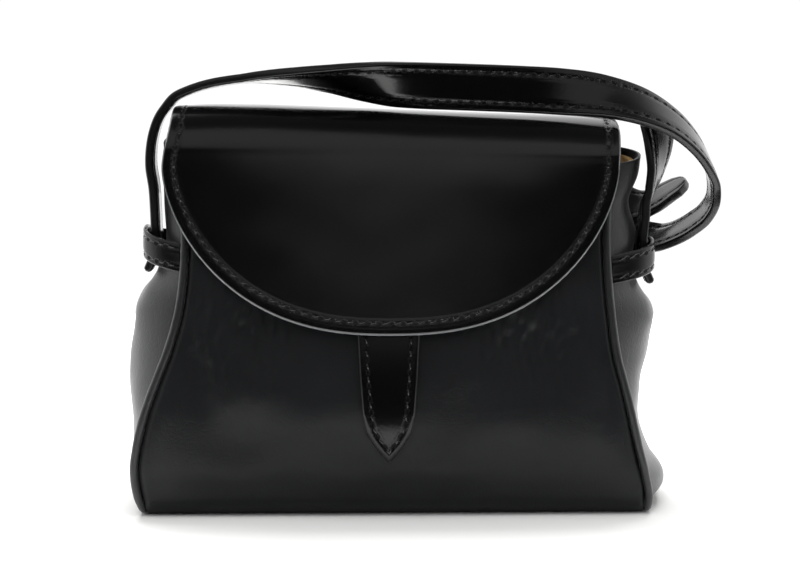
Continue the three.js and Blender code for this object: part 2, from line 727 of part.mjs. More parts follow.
// Closed cup from rings that run up its inside and then down its outside
function cup(rings) {
  const count = rings[0].length;
  const points = rings.flat();
  const faces = [];
  for (let i = 0; i < rings.length - 1; i += 1) {
    for (let j = 0; j < count; j += 1) {
      const a = i * count + j;
      const b = i * count + (j + 1) % count;
      faces.push([a, b, b + count], [a, b + count, a + count]);
    }
  }
  const insideMiddle = points.length;
  points.push(new THREE.Vector3(0, 0, liningFloor + liningWall));
  const outsideMiddle = points.length;
  points.push(new THREE.Vector3(0, 0, liningFloor));
  const end = (rings.length - 1) * count;
  for (let j = 0; j < count; j += 1) {
    const next = (j + 1) % count;
    faces.push([insideMiddle, next, j], [outsideMiddle, end + j, end + next]);
  }
  return solid(points, faces);
}

const bag = new THREE.Group();

function addPiece(name, geometry, { color, roughness, metalness = 0 }) {
  const material = new THREE.MeshStandardMaterial({ color, roughness, metalness });
  const mesh = new THREE.Mesh(geometry, material);
  mesh.name = name;
  bag.add(mesh);
}

addPiece('body_panel', bodyPanel(), leather);
addPiece('gusset_left', gusset(-1), leather);
addPiece('gusset_right', gusset(1), leather);
addPiece('piping_left', piping(-1), leather);
addPiece('piping_right', piping(1), leather);
addPiece('flap', flap(), leather);
addPiece('closure_tab', closureTab(), leather);
addPiece('side_band_left', sideBand(-1), leather);
addPiece('side_band_right', sideBand(1), leather);
addPiece('strap_long', strapLong(), leather);
addPiece('strap_short', strapShort(), leather);
addPiece('strap_buckle', strapBuckle(), { color: '#b08d4c', roughness: 0.35, metalness: 1 });
addPiece('lining', lining(), { color: '#c9a56b', roughness: 0.9 });

export default bag;
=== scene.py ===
# A small flap bag of black calf leather with a long, half-twisted shoulder strap, 24 cm wide.
# Sizes in the sections are millimetres; every finished mesh is in metres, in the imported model's frame.
import math

import bpy
import numpy as np
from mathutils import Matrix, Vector


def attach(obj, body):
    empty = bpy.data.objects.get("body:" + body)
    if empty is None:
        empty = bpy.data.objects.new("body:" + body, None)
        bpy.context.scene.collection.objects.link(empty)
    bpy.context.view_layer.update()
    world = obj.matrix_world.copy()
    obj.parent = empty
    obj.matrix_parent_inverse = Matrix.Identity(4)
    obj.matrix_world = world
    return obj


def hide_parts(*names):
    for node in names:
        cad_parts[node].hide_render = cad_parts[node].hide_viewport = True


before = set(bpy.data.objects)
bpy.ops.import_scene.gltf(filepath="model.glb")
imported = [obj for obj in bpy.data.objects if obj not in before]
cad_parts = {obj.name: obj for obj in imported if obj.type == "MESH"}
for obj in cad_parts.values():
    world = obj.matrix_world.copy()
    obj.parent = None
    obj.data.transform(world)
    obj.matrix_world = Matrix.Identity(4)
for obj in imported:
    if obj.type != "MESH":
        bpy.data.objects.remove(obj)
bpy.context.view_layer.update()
scene = bpy.context.scene


# The camera
# A long lens one metre in front of the bag and a little above its middle, level with the flap,
# as in a shop's product photograph.
camera_turn, camera_rise = math.radians(-1.2), math.radians(8)
camera_aim = Vector((0.0033, 0, 0.104))
camera_back = Vector((
    math.sin(camera_turn) * math.cos(camera_rise),
    -math.cos(camera_turn) * math.cos(camera_rise),
    math.sin(camera_rise),
))
camera = bpy.data.objects.new("product_camera", bpy.data.cameras.new("product_camera"))
camera.data.lens = 91.35
camera.data.sensor_width = 36
camera.location = camera_aim + camera_back
camera.rotation_euler = (-camera_back).to_track_quat("-Z", "Y").to_euler()
scene.collection.objects.link(camera)
scene.camera = camera
scene.view_settings.view_transform = "Standard"


# The photographer's table
# A round white table top of matt laminate, so bright that only the contact shadow shows on it,
# in a white room whose front half is dark.
def linear(hex_colour):
    parts = [int(hex_colour[i:i + 2], 16) / 255 for i in (1, 3, 5)]
    return (*[p / 12.92 if p <= 0.04045 else ((p + 0.055) / 1.055) ** 2.4 for p in parts], 1)


def add_node(tree, kind, settings=None, links=None):
    node = tree.nodes.new(kind)
    inputs = {}
    for key, value in (settings or {}).items():
        if isinstance(key, str) and hasattr(node, key):
            setattr(node, key, value)
        else:
            inputs[key] = value
    for key, value in inputs.items():
        node.inputs[key].default_value = value
    for key, source in (links or {}).items():
        tree.links.new(source, node.inputs[key])
    return node


def new_material(name):
    material = bpy.data.materials.new(name)
    material.use_nodes = True
    material.node_tree.nodes.clear()
    return material, material.node_tree


table_radius, table_back = 470, 170
table_material, tree = new_material("white_matt_laminate")
table_shader = add_node(tree, "ShaderNodeBsdfDiffuse", {"Color": linear("#f4f4f3"), "Roughness": 1.0})
add_node(tree, "ShaderNodeOutputMaterial", links={"Surface": table_shader.outputs[0]})
table_mesh = bpy.data.meshes.new("table_top")
rim = [(math.cos(a) * table_radius / 1000, (math.sin(a) * table_radius + table_back) / 1000, -0.0002)
       for a in np.linspace(0, 2 * math.pi, 128, endpoint=False)]
table_mesh.from_pydata(rim, [], [list(range(128))])
table_mesh.materials.append(table_material)
table = bpy.data.objects.new("table_top", table_mesh)
scene.collection.objects.link(table)


# The studio light
# A white room behind and beside the bag, a dim front with one soft bright strip above the camera,
# and two large softboxes overhead.
world = bpy.data.worlds.new("white_room")
world.use_nodes = True
scene.world = world
tree = world.node_tree
tree.nodes.clear()
way = add_node(tree, "ShaderNodeTexCoord").outputs["Generated"]
way = add_node(tree, "ShaderNodeSeparateXYZ", links={0: way})
behind = add_node(tree, "ShaderNodeMapRange", {
    "interpolation_type": "SMOOTHSTEP", "From Min": -0.7, "From Max": 0.0}, {"Value": way.outputs["Y"]})
low_sky = add_node(tree, "ShaderNodeMapRange", {
    "interpolation_type": "SMOOTHSTEP", "From Min": 0.62, "From Max": 0.96, "To Min": 1.0, "To Max": 0.02},
    {"Value": way.outputs["Z"]})
room = add_node(tree, "ShaderNodeMath", {"operation": "MULTIPLY"},
                {0: behind.outputs[0], 1: low_sky.outputs[0]})
room = add_node(tree, "ShaderNodeMath", {"operation": "MULTIPLY", 1: 1.35}, {0: room.outputs[0]})
strip_foot = add_node(tree, "ShaderNodeMapRange", {
    "interpolation_type": "SMOOTHSTEP", "From Min": 0.18, "From Max": 0.47}, {"Value": way.outputs["Z"]})
strip_head = add_node(tree, "ShaderNodeMapRange", {
    "interpolation_type": "SMOOTHSTEP", "From Min": 0.82, "From Max": 0.87, "To Min": 1.0, "To Max": 0.0},
    {"Value": way.outputs["Z"]})
strip = add_node(tree, "ShaderNodeMath", {"operation": "MULTIPLY"},
                 {0: strip_foot.outputs[0], 1: strip_head.outputs[0]})
strip = add_node(tree, "ShaderNodeMath", {"operation": "MULTIPLY", 1: 0.5}, {0: strip.outputs[0]})
glow = add_node(tree, "ShaderNodeMath", {"operation": "MAXIMUM"}, {0: room.outputs[0], 1: strip.outputs[0]})
glow = add_node(tree, "ShaderNodeMath", {"operation": "ADD", 1: 0.02}, {0: glow.outputs[0]})
seen = add_node(tree, "ShaderNodeLightPath").outputs["Is Camera Ray"]
wall = add_node(tree, "ShaderNodeMix", {"data_type": "FLOAT", 3: 1.05}, {0: seen, 2: glow.outputs[0]})
wall = add_node(tree, "ShaderNodeBackground", {"Color": (1, 1, 1, 1)}, {"Strength": wall.outputs[0]})
add_node(tree, "ShaderNodeOutputWorld", links={"Surface": wall.outputs[0]})

softboxes = [
    {"name": "back_softbox", "size": (1300, 700), "place": (0, 560, 1320), "watts": 60, "mirrored": False},
    {"name": "front_softbox", "size": (1800, 1400), "place": (0, -350, 1500), "watts": 13, "mirrored": False},
]
for box in softboxes:
    light = bpy.data.lights.new(box["name"], "AREA")
    light.shape = "RECTANGLE"
    light.size, light.size_y = box["size"][0] / 1000, box["size"][1] / 1000
    light.energy = box["watts"]
    lamp = bpy.data.objects.new(box["name"], light)
    lamp.location = Vector(box["place"]) / 1000
    lamp.rotation_euler = (Vector((0, 0, 0.08)) - lamp.location).to_track_quat("-Z", "Y").to_euler()
    lamp.visible_camera = False
    lamp.visible_glossy = box["mirrored"]
    scene.collection.objects.link(lamp)


# The body panel
# One piece of soft black calf from the front rim down, under the base and up to the back rim.
# It is wider at the foot than at the rim, bellies out a little and hangs lower at the right.
panel_half_width, seam_half_depth = 121.5, 43
front_height, back_height = 172, 180
panel_wall, belly_depth, corner_radius = 1.8, 7, 8
piping_radius, groove_width, sag_drop = 2, 3, 6.5
clearance = 0.3
seam_rows = {
    "up":           [0.00, 0.08, 0.15, 0.27, 0.36, 0.47, 0.58, 0.71, 0.85, 1.00],
    "left":         [0.985, 1.018, 1.022, 0.988, 0.944, 0.884, 0.843, 0.824, 0.828, 0.845],
    "right":        [1.000, 1.000, 0.975, 0.938, 0.912, 0.875, 0.856, 0.842, 0.842, 0.860],
    "out":          [1.000, 1.000, 1.000, 0.978, 0.938, 0.868, 0.775, 0.655, 0.510, 0.380],
    "belly":        [0.00, 0.35, 0.70, 0.95, 1.00, 0.95, 0.80, 0.55, 0.30, 0.15],
    "groove_left":  [0.90, 1.00, 1.00, 1.00, 0.85, 0.60, 0.40, 0.33, 0.33, 0.33],
    "groove_right": [0.33, 0.40, 0.45, 0.45, 0.40, 0.35, 0.33, 0.33, 0.33, 0.33],
}
dents = [
    {"across": -0.42, "up": 0.52, "wide": 0.20, "high": 0.11, "push": -0.40},
    {"across": 0.50, "up": 0.52, "wide": 0.18, "high": 0.11, "push": -0.40},
    {"across": -0.72, "up": 0.48, "wide": 0.12, "high": 0.16, "push": 0.30},
    {"across": 0.76, "up": 0.44, "wide": 0.12, "high": 0.20, "push": 0.30},
]


def read_column(rows, column, share):
    """A smooth value of one column at a share of the height, through the rows on both sides of it."""
    keys, values = np.array(rows["up"], float), np.array(rows[column], float)
    last = len(keys) - 1
    held = np.clip(share, keys[0], keys[last])
    a = np.clip(np.searchsorted(keys, held) - 1, 0, last - 1)
    b, before, after = a + 1, np.maximum(a - 1, 0), np.minimum(a + 2, last)
    step = keys[b] - keys[a]
    t = (held - keys[a]) / step
    slope_a = (values[b] - values[before]) / (keys[b] - keys[before])
    slope_b = (values[after] - values[a]) / (keys[after] - keys[a])
    return (values[a] * (2 * t**3 - 3 * t**2 + 1) + values[b] * (3 * t**2 - 2 * t**3)
            + slope_a * step * (t**3 - 2 * t**2 + t) + slope_b * step * (t**3 - t**2))


def mix(a, b, t):
    return a + (b - a) * t


def smooth(t):
    held = np.clip(t, 0, 1)
    return held * held * (3 - 2 * held)


def sag(points, level=0.0, reach=0.7 * front_height):
    """Lowers points toward the bag's right side, above a level and over a reach."""
    across = smooth((points[..., 0] / panel_half_width + 1) / 2)
    moved = points.copy()
    moved[..., 2] -= sag_drop * across * smooth((points[..., 2] - level) / reach)
    return moved


def seam_out(z, height):
    corner_top = piping_radius + corner_radius
    out = seam_half_depth * read_column(seam_rows, "out", z / height)
    drop = np.clip(corner_top - z, 0, corner_radius)
    return out - corner_radius + np.sqrt(corner_radius**2 - drop**2)


def seam_across(side, z, height):
    return panel_half_width * read_column(seam_rows, "left" if side < 0 else "right", z / height)


def belly_out(facing, x, z, height):
    edge = np.where(x < 0, seam_across(-1, z, height), seam_across(1, z, height))
    across = x / edge
    out = belly_depth * read_column(seam_rows, "belly", z / height) * (1 - across**2)
    for dent in dents:
        reach = (((x / panel_half_width - dent["across"]) / dent["wide"])**2
                 + ((z / height - dent["up"]) / dent["high"])**2)
        push = belly_depth * dent["push"] * np.exp(-reach) * np.maximum(0, 1 - across**6)
        out = out + np.where(facing < 0, push, 0)
    return out


def panel_edge(side, z, height):
    groove = groove_width * read_column(seam_rows, "groove_left" if side < 0 else "groove_right", z / height)
    return seam_across(side, z, height) - piping_radius - groove


def seam_stations(levels, corner_steps, base_steps=0):
    """The seam's way from the front rim round the base to the back rim: facing, height, z, turn, reach."""
    corner_top = piping_radius + corner_radius
    rise = np.linspace(1, corner_top / front_height, levels, endpoint=False)
    turn = np.linspace(0, np.pi / 2, corner_steps + 1)
    halves = []
    for facing, height in ((-1, front_height), (1, back_height)):
        z = np.concatenate([rise * height, corner_top - corner_radius * np.sin(turn)])
        turns = np.concatenate([np.zeros(levels), turn])
        halves.append((np.full(len(z), float(facing)), np.full(len(z), float(height)), z, turns,
                       np.ones(len(z))))
    reach = np.linspace(1, -1, base_steps + 2)[1:-1]
    base = (np.where(reach > 0, -1.0, 1.0), np.where(reach > 0, front_height, back_height) * 1.0,
            np.full(base_steps, float(piping_radius)), np.full(base_steps, np.pi / 2), np.abs(reach))
    return [np.concatenate([a, b, c[::-1]]) for a, b, c in zip(halves[0], base, halves[1])]


def waves(a, b, longest, shortest, count, seed):
    """Soft, even noise between about -1 and 1 from sine waves in many directions."""
    rng = np.random.default_rng(seed)
    total = np.zeros(np.broadcast(a, b).shape)
    for _ in range(count):
        length = math.exp(rng.uniform(math.log(shortest), math.log(longest)))
        angle, phase = rng.uniform(0, 2 * math.pi, 2)
        total += np.sin((a * math.cos(angle) + b * math.sin(angle)) * 2 * math.pi / length + phase)
    return total / math.sqrt(count)


def crease(a, b, start, end, width, depth):
    """A soft fold along a line, deepest in its middle third and running out at both ends."""
    run = np.array(end, float) - np.array(start, float)
    along = ((a - start[0]) * run[0] + (b - start[1]) * run[1]) / (run @ run)
    aside = ((a - start[0]) * run[1] - (b - start[1]) * run[0]) / math.sqrt(run @ run)
    fade = smooth(np.clip(along, 0, 1) * 2.5) * smooth(np.clip(1 - along, 0, 1) * 2.5)
    return depth * fade * np.exp(-(aside / width)**2)


def grid_normals(points, closed=False):
    """Unit normals of a grid of points, from its two directions."""
    down = np.gradient(points, axis=0)
    if closed:
        across = (np.roll(points, -1, axis=1) - np.roll(points, 1, axis=1)) / 2
    else:
        across = np.gradient(points, axis=1)
    normal = np.cross(down, across)
    return normal / np.maximum(np.linalg.norm(normal, axis=-1, keepdims=True), 1e-9)


def finish_mesh(name, points, faces, material, uv=None):
    """A smooth closed mesh in metres from points in millimetres, faces outward."""
    mesh = bpy.data.meshes.new(name)
    mesh.from_pydata((np.asarray(points) / 1000).tolist(), [], faces)
    mesh.polygons.foreach_set("use_smooth", [True] * len(mesh.polygons))
    if uv is not None:
        loops = np.zeros(len(mesh.loops), int)
        mesh.loops.foreach_get("vertex_index", loops)
        layer = mesh.uv_layers.new(name="edge_run")
        layer.data.foreach_set("uv", (np.asarray(uv)[loops] / 1000).ravel())
    mesh.update()
    co = np.asarray(points)
    tri = [(f[0], f[i], f[i + 1]) for f in faces for i in range(1, len(f) - 1)]
    tri = np.array(tri)
    volume = np.einsum("ij,ij->i", co[tri[:, 0]], np.cross(co[tri[:, 1]], co[tri[:, 2]])).sum()
    if volume < 0:
        mesh.flip_normals()
    mesh.materials.append(material)
    piece = bpy.data.objects.new(name, mesh)
    scene.collection.objects.link(piece)
    return piece


def shell(name, face, back, material, uv=None):
    """A closed sheet from two grids of points, the second behind the first."""
    rows, columns = face.shape[:2]
    half = rows * columns
    index = np.arange(half).reshape(rows, columns)
    a, b, c, d = index[:-1, :-1], index[:-1, 1:], index[1:, 1:], index[1:, :-1]
    front = np.stack([a, b, c, d], -1).reshape(-1, 4)
    behind = np.stack([a, d, c, b], -1).reshape(-1, 4) + half
    loop = np.concatenate([index[0, :-1], index[:-1, -1], index[-1, :0:-1], index[:0:-1, 0]])
    after = np.roll(loop, -1)
    edge = np.stack([loop, loop + half, after + half, after], -1)
    faces = np.concatenate([front, behind, edge]).tolist()
    points = np.concatenate([face.reshape(-1, 3), back.reshape(-1, 3)])
    both = None if uv is None else np.concatenate([uv.reshape(-1, 2)] * 2)
    return finish_mesh(name, points, faces, material, both)


# Soft calf: aniline-dyed box calf, boarded by hand. It gives a satin black with a fine pebble
# and shallow creases that break up the light where the bag bends.
def leather_grain(tree, pebble, pebble_depth, crease_size, crease_depth):
    """Height in millimetres of a leather's pebble grain and fine creases."""
    place = add_node(tree, "ShaderNodeTexCoord").outputs["Object"]
    cells = add_node(tree, "ShaderNodeTexVoronoi", {"Scale": 1000 / pebble, "Randomness": 1.0},
                     {"Vector": place})
    cells = add_node(tree, "ShaderNodeMath", {"operation": "MULTIPLY", 1: -pebble_depth},
                     {0: cells.outputs["Distance"]})
    lines = add_node(tree, "ShaderNodeTexNoise", {
        "Scale": 1000 / crease_size, "Detail": 4.0, "Roughness": 0.6, "Distortion": 0.8}, {"Vector": place})
    lines = add_node(tree, "ShaderNodeMath", {"operation": "SUBTRACT", 1: 0.5}, {0: lines.outputs[0]})
    lines = add_node(tree, "ShaderNodeMath", {"operation": "ABSOLUTE"}, {0: lines.outputs[0]})
    lines = add_node(tree, "ShaderNodeMapRange", {
        "From Min": 0.0, "From Max": 0.05, "To Min": -crease_depth, "To Max": 0.0},
        {"Value": lines.outputs[0]})
    return add_node(tree, "ShaderNodeMath", {"operation": "ADD"},
                    {0: cells.outputs[0], 1: lines.outputs[0]}).outputs[0]


def soft_calf(name, ior, sheen):
    """Box calf with a mottled dye, a satin finish and its grain."""
    material, tree = new_material(name)
    place = add_node(tree, "ShaderNodeTexCoord").outputs["Object"]
    cloudy = add_node(tree, "ShaderNodeTexNoise", {"Scale": 1000 / 28, "Detail": 3.0}, {"Vector": place})
    dye = add_node(tree, "ShaderNodeMix", {
        "data_type": "RGBA", 6: linear("#0f1011"), 7: linear("#191a1c")}, {0: cloudy.outputs[0]})
    satin = add_node(tree, "ShaderNodeMapRange", {"To Min": 0.34, "To Max": 0.46},
                     {"Value": cloudy.outputs[0]})
    grain = leather_grain(tree, 0.9, 0.045, 7.0, 0.05)
    bump = add_node(tree, "ShaderNodeBump", {"Strength": 0.8, "Distance": 0.001}, {"Height": grain})
    shader = add_node(tree, "ShaderNodeBsdfPrincipled", {"IOR": ior, "Sheen Weight": sheen}, {
        "Base Color": dye.outputs[2], "Roughness": satin.outputs[0], "Normal": bump.outputs[0]})
    add_node(tree, "ShaderNodeOutputMaterial", links={"Surface": shader.outputs[0]})
    return material


panel_calf = soft_calf("soft_black_box_calf", 1.27, 0.0)
facing, height, z, turn, reach = [s[:, None] for s in seam_stations(120, 12, 12)]
even = np.linspace(0, 1, 261)[None, :]
share = 0.45 * even + 0.55 * (0.5 - 0.5 * np.cos(np.pi * even))
left_edge, right_edge = [seam_across(side, z, height) - piping_radius - 0.15 for side in (-1, 1)]
x = mix(-left_edge, right_edge, share)
left_groove, right_groove = [edge - panel_edge(side, z, height) + 1.4
                             for side, edge in ((-1, left_edge), (1, right_edge))]
tuck_depth = 2.3
tuck = 1 - np.sin(np.pi / 2 * np.clip((x + left_edge) / left_groove, 0, 1))
tuck = tuck_depth * np.maximum(tuck, 1 - np.sin(np.pi / 2 * np.clip((right_edge - x) / right_groove, 0, 1)))
flat_x, flat_z = np.broadcast_arrays(x, z)
relief = 0.7 * waves(flat_x, flat_z, 90, 30, 14, 3)
under_flap = np.exp(-((flat_x - 62) / 30)**2 - ((flat_z - 88) / 24)**2)
under_flap += np.exp(-((flat_x + 70) / 24)**2 - ((flat_z - 88) / 22)**2)
relief += 0.45 * under_flap * waves(flat_x * 1.6, flat_z, 16, 5, 18, 5)
relief -= crease(flat_x, flat_z, (-88, 108), (-52, 62), 6, 1.8)
relief -= crease(flat_x, flat_z, (-96, 92), (-90, 40), 6, 1.3)
relief -= crease(flat_x, flat_z, (92, 106), (70, 56), 6, 1.7)
relief -= crease(flat_x, flat_z, (101, 96), (106, 36), 6, 1.3)
relief = relief * smooth((flat_z - 6) / 20) * smooth(np.minimum(share, 1 - share) * 18)
relief = np.where(facing < 0, relief, 0.7 * relief) - tuck
out = seam_out(z, height)
lean = np.cos(turn)


def panel_points(depth):
    outward = piping_radius + belly_out(facing, x, z, height) * lean + relief * lean - depth
    y = facing * (out * reach + outward * lean)
    y = np.where(reach < 1, facing * out * reach, y)
    lift = -(piping_radius - depth) * np.sin(turn)
    return sag(np.stack(np.broadcast_arrays(x, y, z + lift), -1))


body_panel = shell("body_panel_leather", panel_points(0), panel_points(panel_wall), panel_calf)
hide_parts("body_panel")
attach(body_panel, "root")


# The gussets
# A soft calf side on each side, sewn between the front and the back seam. They bulge out like
# a bellows below the side bands and draw in at the rim.
gusset_wall, gusset_bulge, gusset_fullness = 1.8, 30, 2.4
bulge_rows = {
    "up":    [0.00, 0.07, 0.14, 0.25, 0.36, 0.45, 0.54, 0.59, 0.645, 0.70, 0.79, 0.88, 0.95, 1.00],
    "left":  [0.05, 0.10, 0.10, 0.24, 0.48, 0.66, 0.76, 0.72, 0.49, 0.40, 0.38, 0.36, 0.34, 0.32],
    "right": [0.22, 0.42, 0.29, 0.19, 0.37, 0.60, 0.78, 0.80, 0.60, 0.52, 0.55, 0.42, 0.54, 0.56],
}


def bulge(side, up):
    return gusset_bulge * read_column(bulge_rows, "left" if side < 0 else "right", up)


def across_gusset(t, fullness):
    return 1 - np.abs(2 * t - 1)**fullness


side_calf = soft_calf("satin_black_side_calf", 1.5, 0.1)
for side, word in ((-1, "left"), (1, "right")):
    levels, corner_steps = 120, 10
    facing, height, z, turn, reach = seam_stations(levels, corner_steps)
    count = levels + corner_steps + 1
    front = [s[:count, None] for s in (height, z, turn)]
    back = [s[count:][::-1][:, None] for s in (height, z, turn)]
    t = np.linspace(0, 1, 81)[None, :]
    inset = piping_radius + 3 * clearance
    z_mid = mix(front[1], back[1], t)
    up = mix(front[1] / front[0], back[1] / back[0], t)
    seam = mix(seam_across(side, front[1], front_height), seam_across(side, back[1], back_height), t)
    pull, lift = inset * np.cos(front[2]), inset * np.sin(front[2])
    y = mix(-(seam_out(front[1], front_height) - pull), seam_out(back[1], back_height) - pull, t)
    soft = 0.5 * waves(y, z_mid, 60, 18, 14, 11 + side) * across_gusset(t, 2)
    fold = (crease(t * 40, z_mid, (20, 8), (20, 60), 5, 1.2)
            + crease(t * 40, z_mid, (8, 96), (30, 116), 4, 1.4))
    base_pull = smooth((z_mid - 6) / 30)
    relief = (soft - fold) * base_pull
    outward = seam + bulge(side, up) * across_gusset(t, gusset_fullness) + relief

    def gusset_points(depth):
        return sag(np.stack(np.broadcast_arrays(side * (outward - depth), y, z_mid + lift), -1))

    gusset = shell(f"gusset_{word}_leather", gusset_points(0), gusset_points(gusset_wall), side_calf)
    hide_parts(f"gusset_{word}")
    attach(gusset, "root")


# The piping
# A 4 mm welt of the same calf rolled round a cord and sewn into each side seam, from the front
# rim under the base to the back rim.
def curve_points(places, t):
    """Points of a centripetal curve through the places, at shares of its rows."""
    p = np.asarray(places, float)
    p = np.vstack([2 * p[0] - p[1], p, 2 * p[-1] - p[-2]])
    spot = np.clip(t, 0, 1) * (len(p) - 3)
    i = np.minimum(spot.astype(int), len(p) - 4)
    w = (spot - i)[:, None]
    p0, p1, p2, p3 = p[i], p[i + 1], p[i + 2], p[i + 3]
    d0, d1, d2 = [np.sqrt(np.linalg.norm(a - b, axis=1))[:, None] for a, b in ((p0, p1), (p1, p2), (p2, p3))]
    d1 = np.where(d1 < 1e-3, 1.0, d1)
    d0, d2 = np.where(d0 < 1e-3, d1, d0), np.where(d2 < 1e-3, d1, d2)
    leave = ((p1 - p0) / d0 - (p2 - p0) / (d0 + d1) + (p2 - p1) / d1) * d1
    arrive = ((p2 - p1) / d1 - (p3 - p1) / (d1 + d2) + (p3 - p2) / d2) * d1
    return (p1 + leave * w + (3 * (p2 - p1) - 2 * leave - arrive) * w**2
            + (2 * (p1 - p2) + leave + arrive) * w**3)


def unit(vectors):
    return vectors / np.maximum(np.linalg.norm(vectors, axis=-1, keepdims=True), 1e-9)


def tube(name, rings, material, uv=None):
    """A closed body from rings of points, with a fan on both ends."""
    steps, count = rings.shape[:2]
    index = np.arange(steps * count).reshape(steps, count)
    a, b = index[:-1], np.roll(index, -1, axis=1)[:-1]
    c, d = np.roll(index, -1, axis=1)[1:], index[1:]
    faces = np.stack([a, b, c, d], -1).reshape(-1, 4).tolist()
    points = rings.reshape(-1, 3)
    ends = [rings[0].mean(0), rings[-1].mean(0)]
    first, last = len(points), len(points) + 1
    for j in range(count):
        k = (j + 1) % count
        faces.append([first, k, j])
        faces.append([last, int(index[-1, j]), int(index[-1, k])])
    points = np.vstack([points, ends])
    if uv is not None:
        uv = np.vstack([uv.reshape(-1, 2), uv[0].mean(0), uv[-1].mean(0)])
    return finish_mesh(name, points, faces, material, uv)


for side, word in ((-1, "left"), (1, "right")):
    facing, height, z, turn, reach = seam_stations(14, 4, 5)
    underside = np.array([0.8, 0.4, 0.0, -0.4, -0.8])
    out = seam_out(z, height)
    y = facing * out
    base = len(z) // 2
    y[base - 2:base + 3] = -underside * out[base - 3]
    where = sag(np.stack([side * seam_across(side, z, height), y, z + clearance / 2], -1))
    t = np.linspace(0, 1, 420)
    middle = curve_points(where, t)
    along = unit(np.gradient(middle, axis=0))
    aside = unit(np.cross(along, np.array([side, 0.0, 0.0])))
    outward = np.cross(aside, along)
    angle = np.linspace(0, 2 * np.pi, 20, endpoint=False)[None, :, None]
    pucker = 1 + 0.02 * waves(t[:, None] * 560, angle[..., 0] * 2, 18, 6, 8, 21)[..., None]
    rings = middle[:, None] + piping_radius * 0.98 * pucker * (
        np.cos(angle) * outward[:, None] + np.sin(angle) * aside[:, None])
    welt = tube(f"piping_{word}_welt", rings, side_calf)
    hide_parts(f"piping_{word}")
    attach(welt, "root")


# The lining
# A golden tan cotton twill cup, glued to the inside of the leather and turned in below the rim.
lining_wall, lining_clearance, lining_rim_drop, lining_floor = 0.9, 1.3, 3, 5
seam_clearance = 1.15
twill, tree = new_material("golden_tan_cotton_twill")
place = add_node(tree, "ShaderNodeTexCoord").outputs["Object"]
turned = add_node(tree, "ShaderNodeMapping", {"Rotation": (0.0, 0.8, 0.0)}, {"Vector": place})
rib = add_node(tree, "ShaderNodeTexWave", {"Scale": 1000 / 1.4 / 6.28, "Distortion": 0.6},
               {"Vector": turned.outputs[0]})
tan = add_node(tree, "ShaderNodeMix", {
    "data_type": "RGBA", 6: linear("#c2985a"), 7: linear("#ecc88c")}, {0: rib.outputs["Fac"]})
rib = add_node(tree, "ShaderNodeMath", {"operation": "MULTIPLY", 1: 0.12}, {0: rib.outputs["Fac"]})
bump = add_node(tree, "ShaderNodeBump", {"Distance": 0.001}, {"Height": rib.outputs[0]})
shader = add_node(tree, "ShaderNodeBsdfPrincipled", {"Roughness": 0.85, "Sheen Weight": 0.3}, {
    "Base Color": tan.outputs[2], "Normal": bump.outputs[0]})
add_node(tree, "ShaderNodeOutputMaterial", links={"Surface": shader.outputs[0]})


def lining_ring(level, depth):
    inset = panel_wall + lining_clearance + depth
    ring = []
    for facing, side in ((-1, 1), (1, -1)):
        height = front_height if facing < 0 else back_height
        z = np.full(60, level * (height - lining_rim_drop))
        left = -(seam_across(-1, z, height) - inset - seam_clearance)
        right = seam_across(1, z, height) - inset - seam_clearance
        x = mix(left, right, np.linspace(0, 1, 60))
        y = facing * (seam_out(z, height) + piping_radius + belly_out(facing, x, z, height) - inset)
        face = np.stack([x, y, z], -1)
        t = np.linspace(0, 1, 30)
        z_front, z_back = level * (front_height - lining_rim_drop), level * (back_height - lining_rim_drop)
        z = mix(z_front, z_back, t)
        seam = mix(seam_across(side, np.array(z_front), front_height),
                   seam_across(side, np.array(z_back), back_height), t)
        x = seam + bulge(side, z / mix(front_height, back_height, t)) * across_gusset(t, gusset_fullness)
        x = x - gusset_wall - lining_clearance - depth
        y = mix(-(seam_out(np.array(z_front), front_height) - piping_radius - lining_clearance),
                seam_out(np.array(z_back), back_height) - piping_radius - lining_clearance, t)
        end = np.stack([side * x, y, z], -1)
        ring += [face, end] if facing < 0 else [face[::-1], end[::-1]]
    return sag(np.concatenate(ring))


levels = np.linspace(1, 0.07, 60)
inside = [lining_ring(level, lining_wall) for level in levels[::-1]]
outside = [lining_ring(level, 0) for level in levels]
rings = np.array(inside + outside)
rings[0, :, 2] = np.maximum(rings[0, :, 2], lining_floor + lining_wall)
lining = tube("lining_twill", rings, twill)
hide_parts("lining")
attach(lining, "root")


# The flap
# A half-round flap of glazed strap leather, lined with itself and sewn all round its edge with
# waxed black thread. It is fixed to the back panel and folds over the rim.
flap_half_width, flap_thickness, flap_top, flap_side_level, flap_drop = 108.5, 2.5, 192.6, 165, 77
flap_narrowing_left, flap_narrowing_right, flap_side_curl, flap_centre = 4, -1, 12, -1.5
flap_end_droop, flap_roundness, flap_edge_ease = 1.6, 2.5, 0.6
flap_sag_level, flap_over_tab = 155, 0.9
tab_thickness, tab_centre = 2.8, -3
flap_stitch_inset, flap_stitch_pitch = 5.7, 5.5
fold_rows = [(0.655, 0.775), (0.605, 0.875), (0.510, 0.948), (0.290, 0.991), (0.000, 1.000),
             (-0.290, 0.996), (-0.510, 0.976), (-0.625, 0.940), (-0.690, 0.890)]


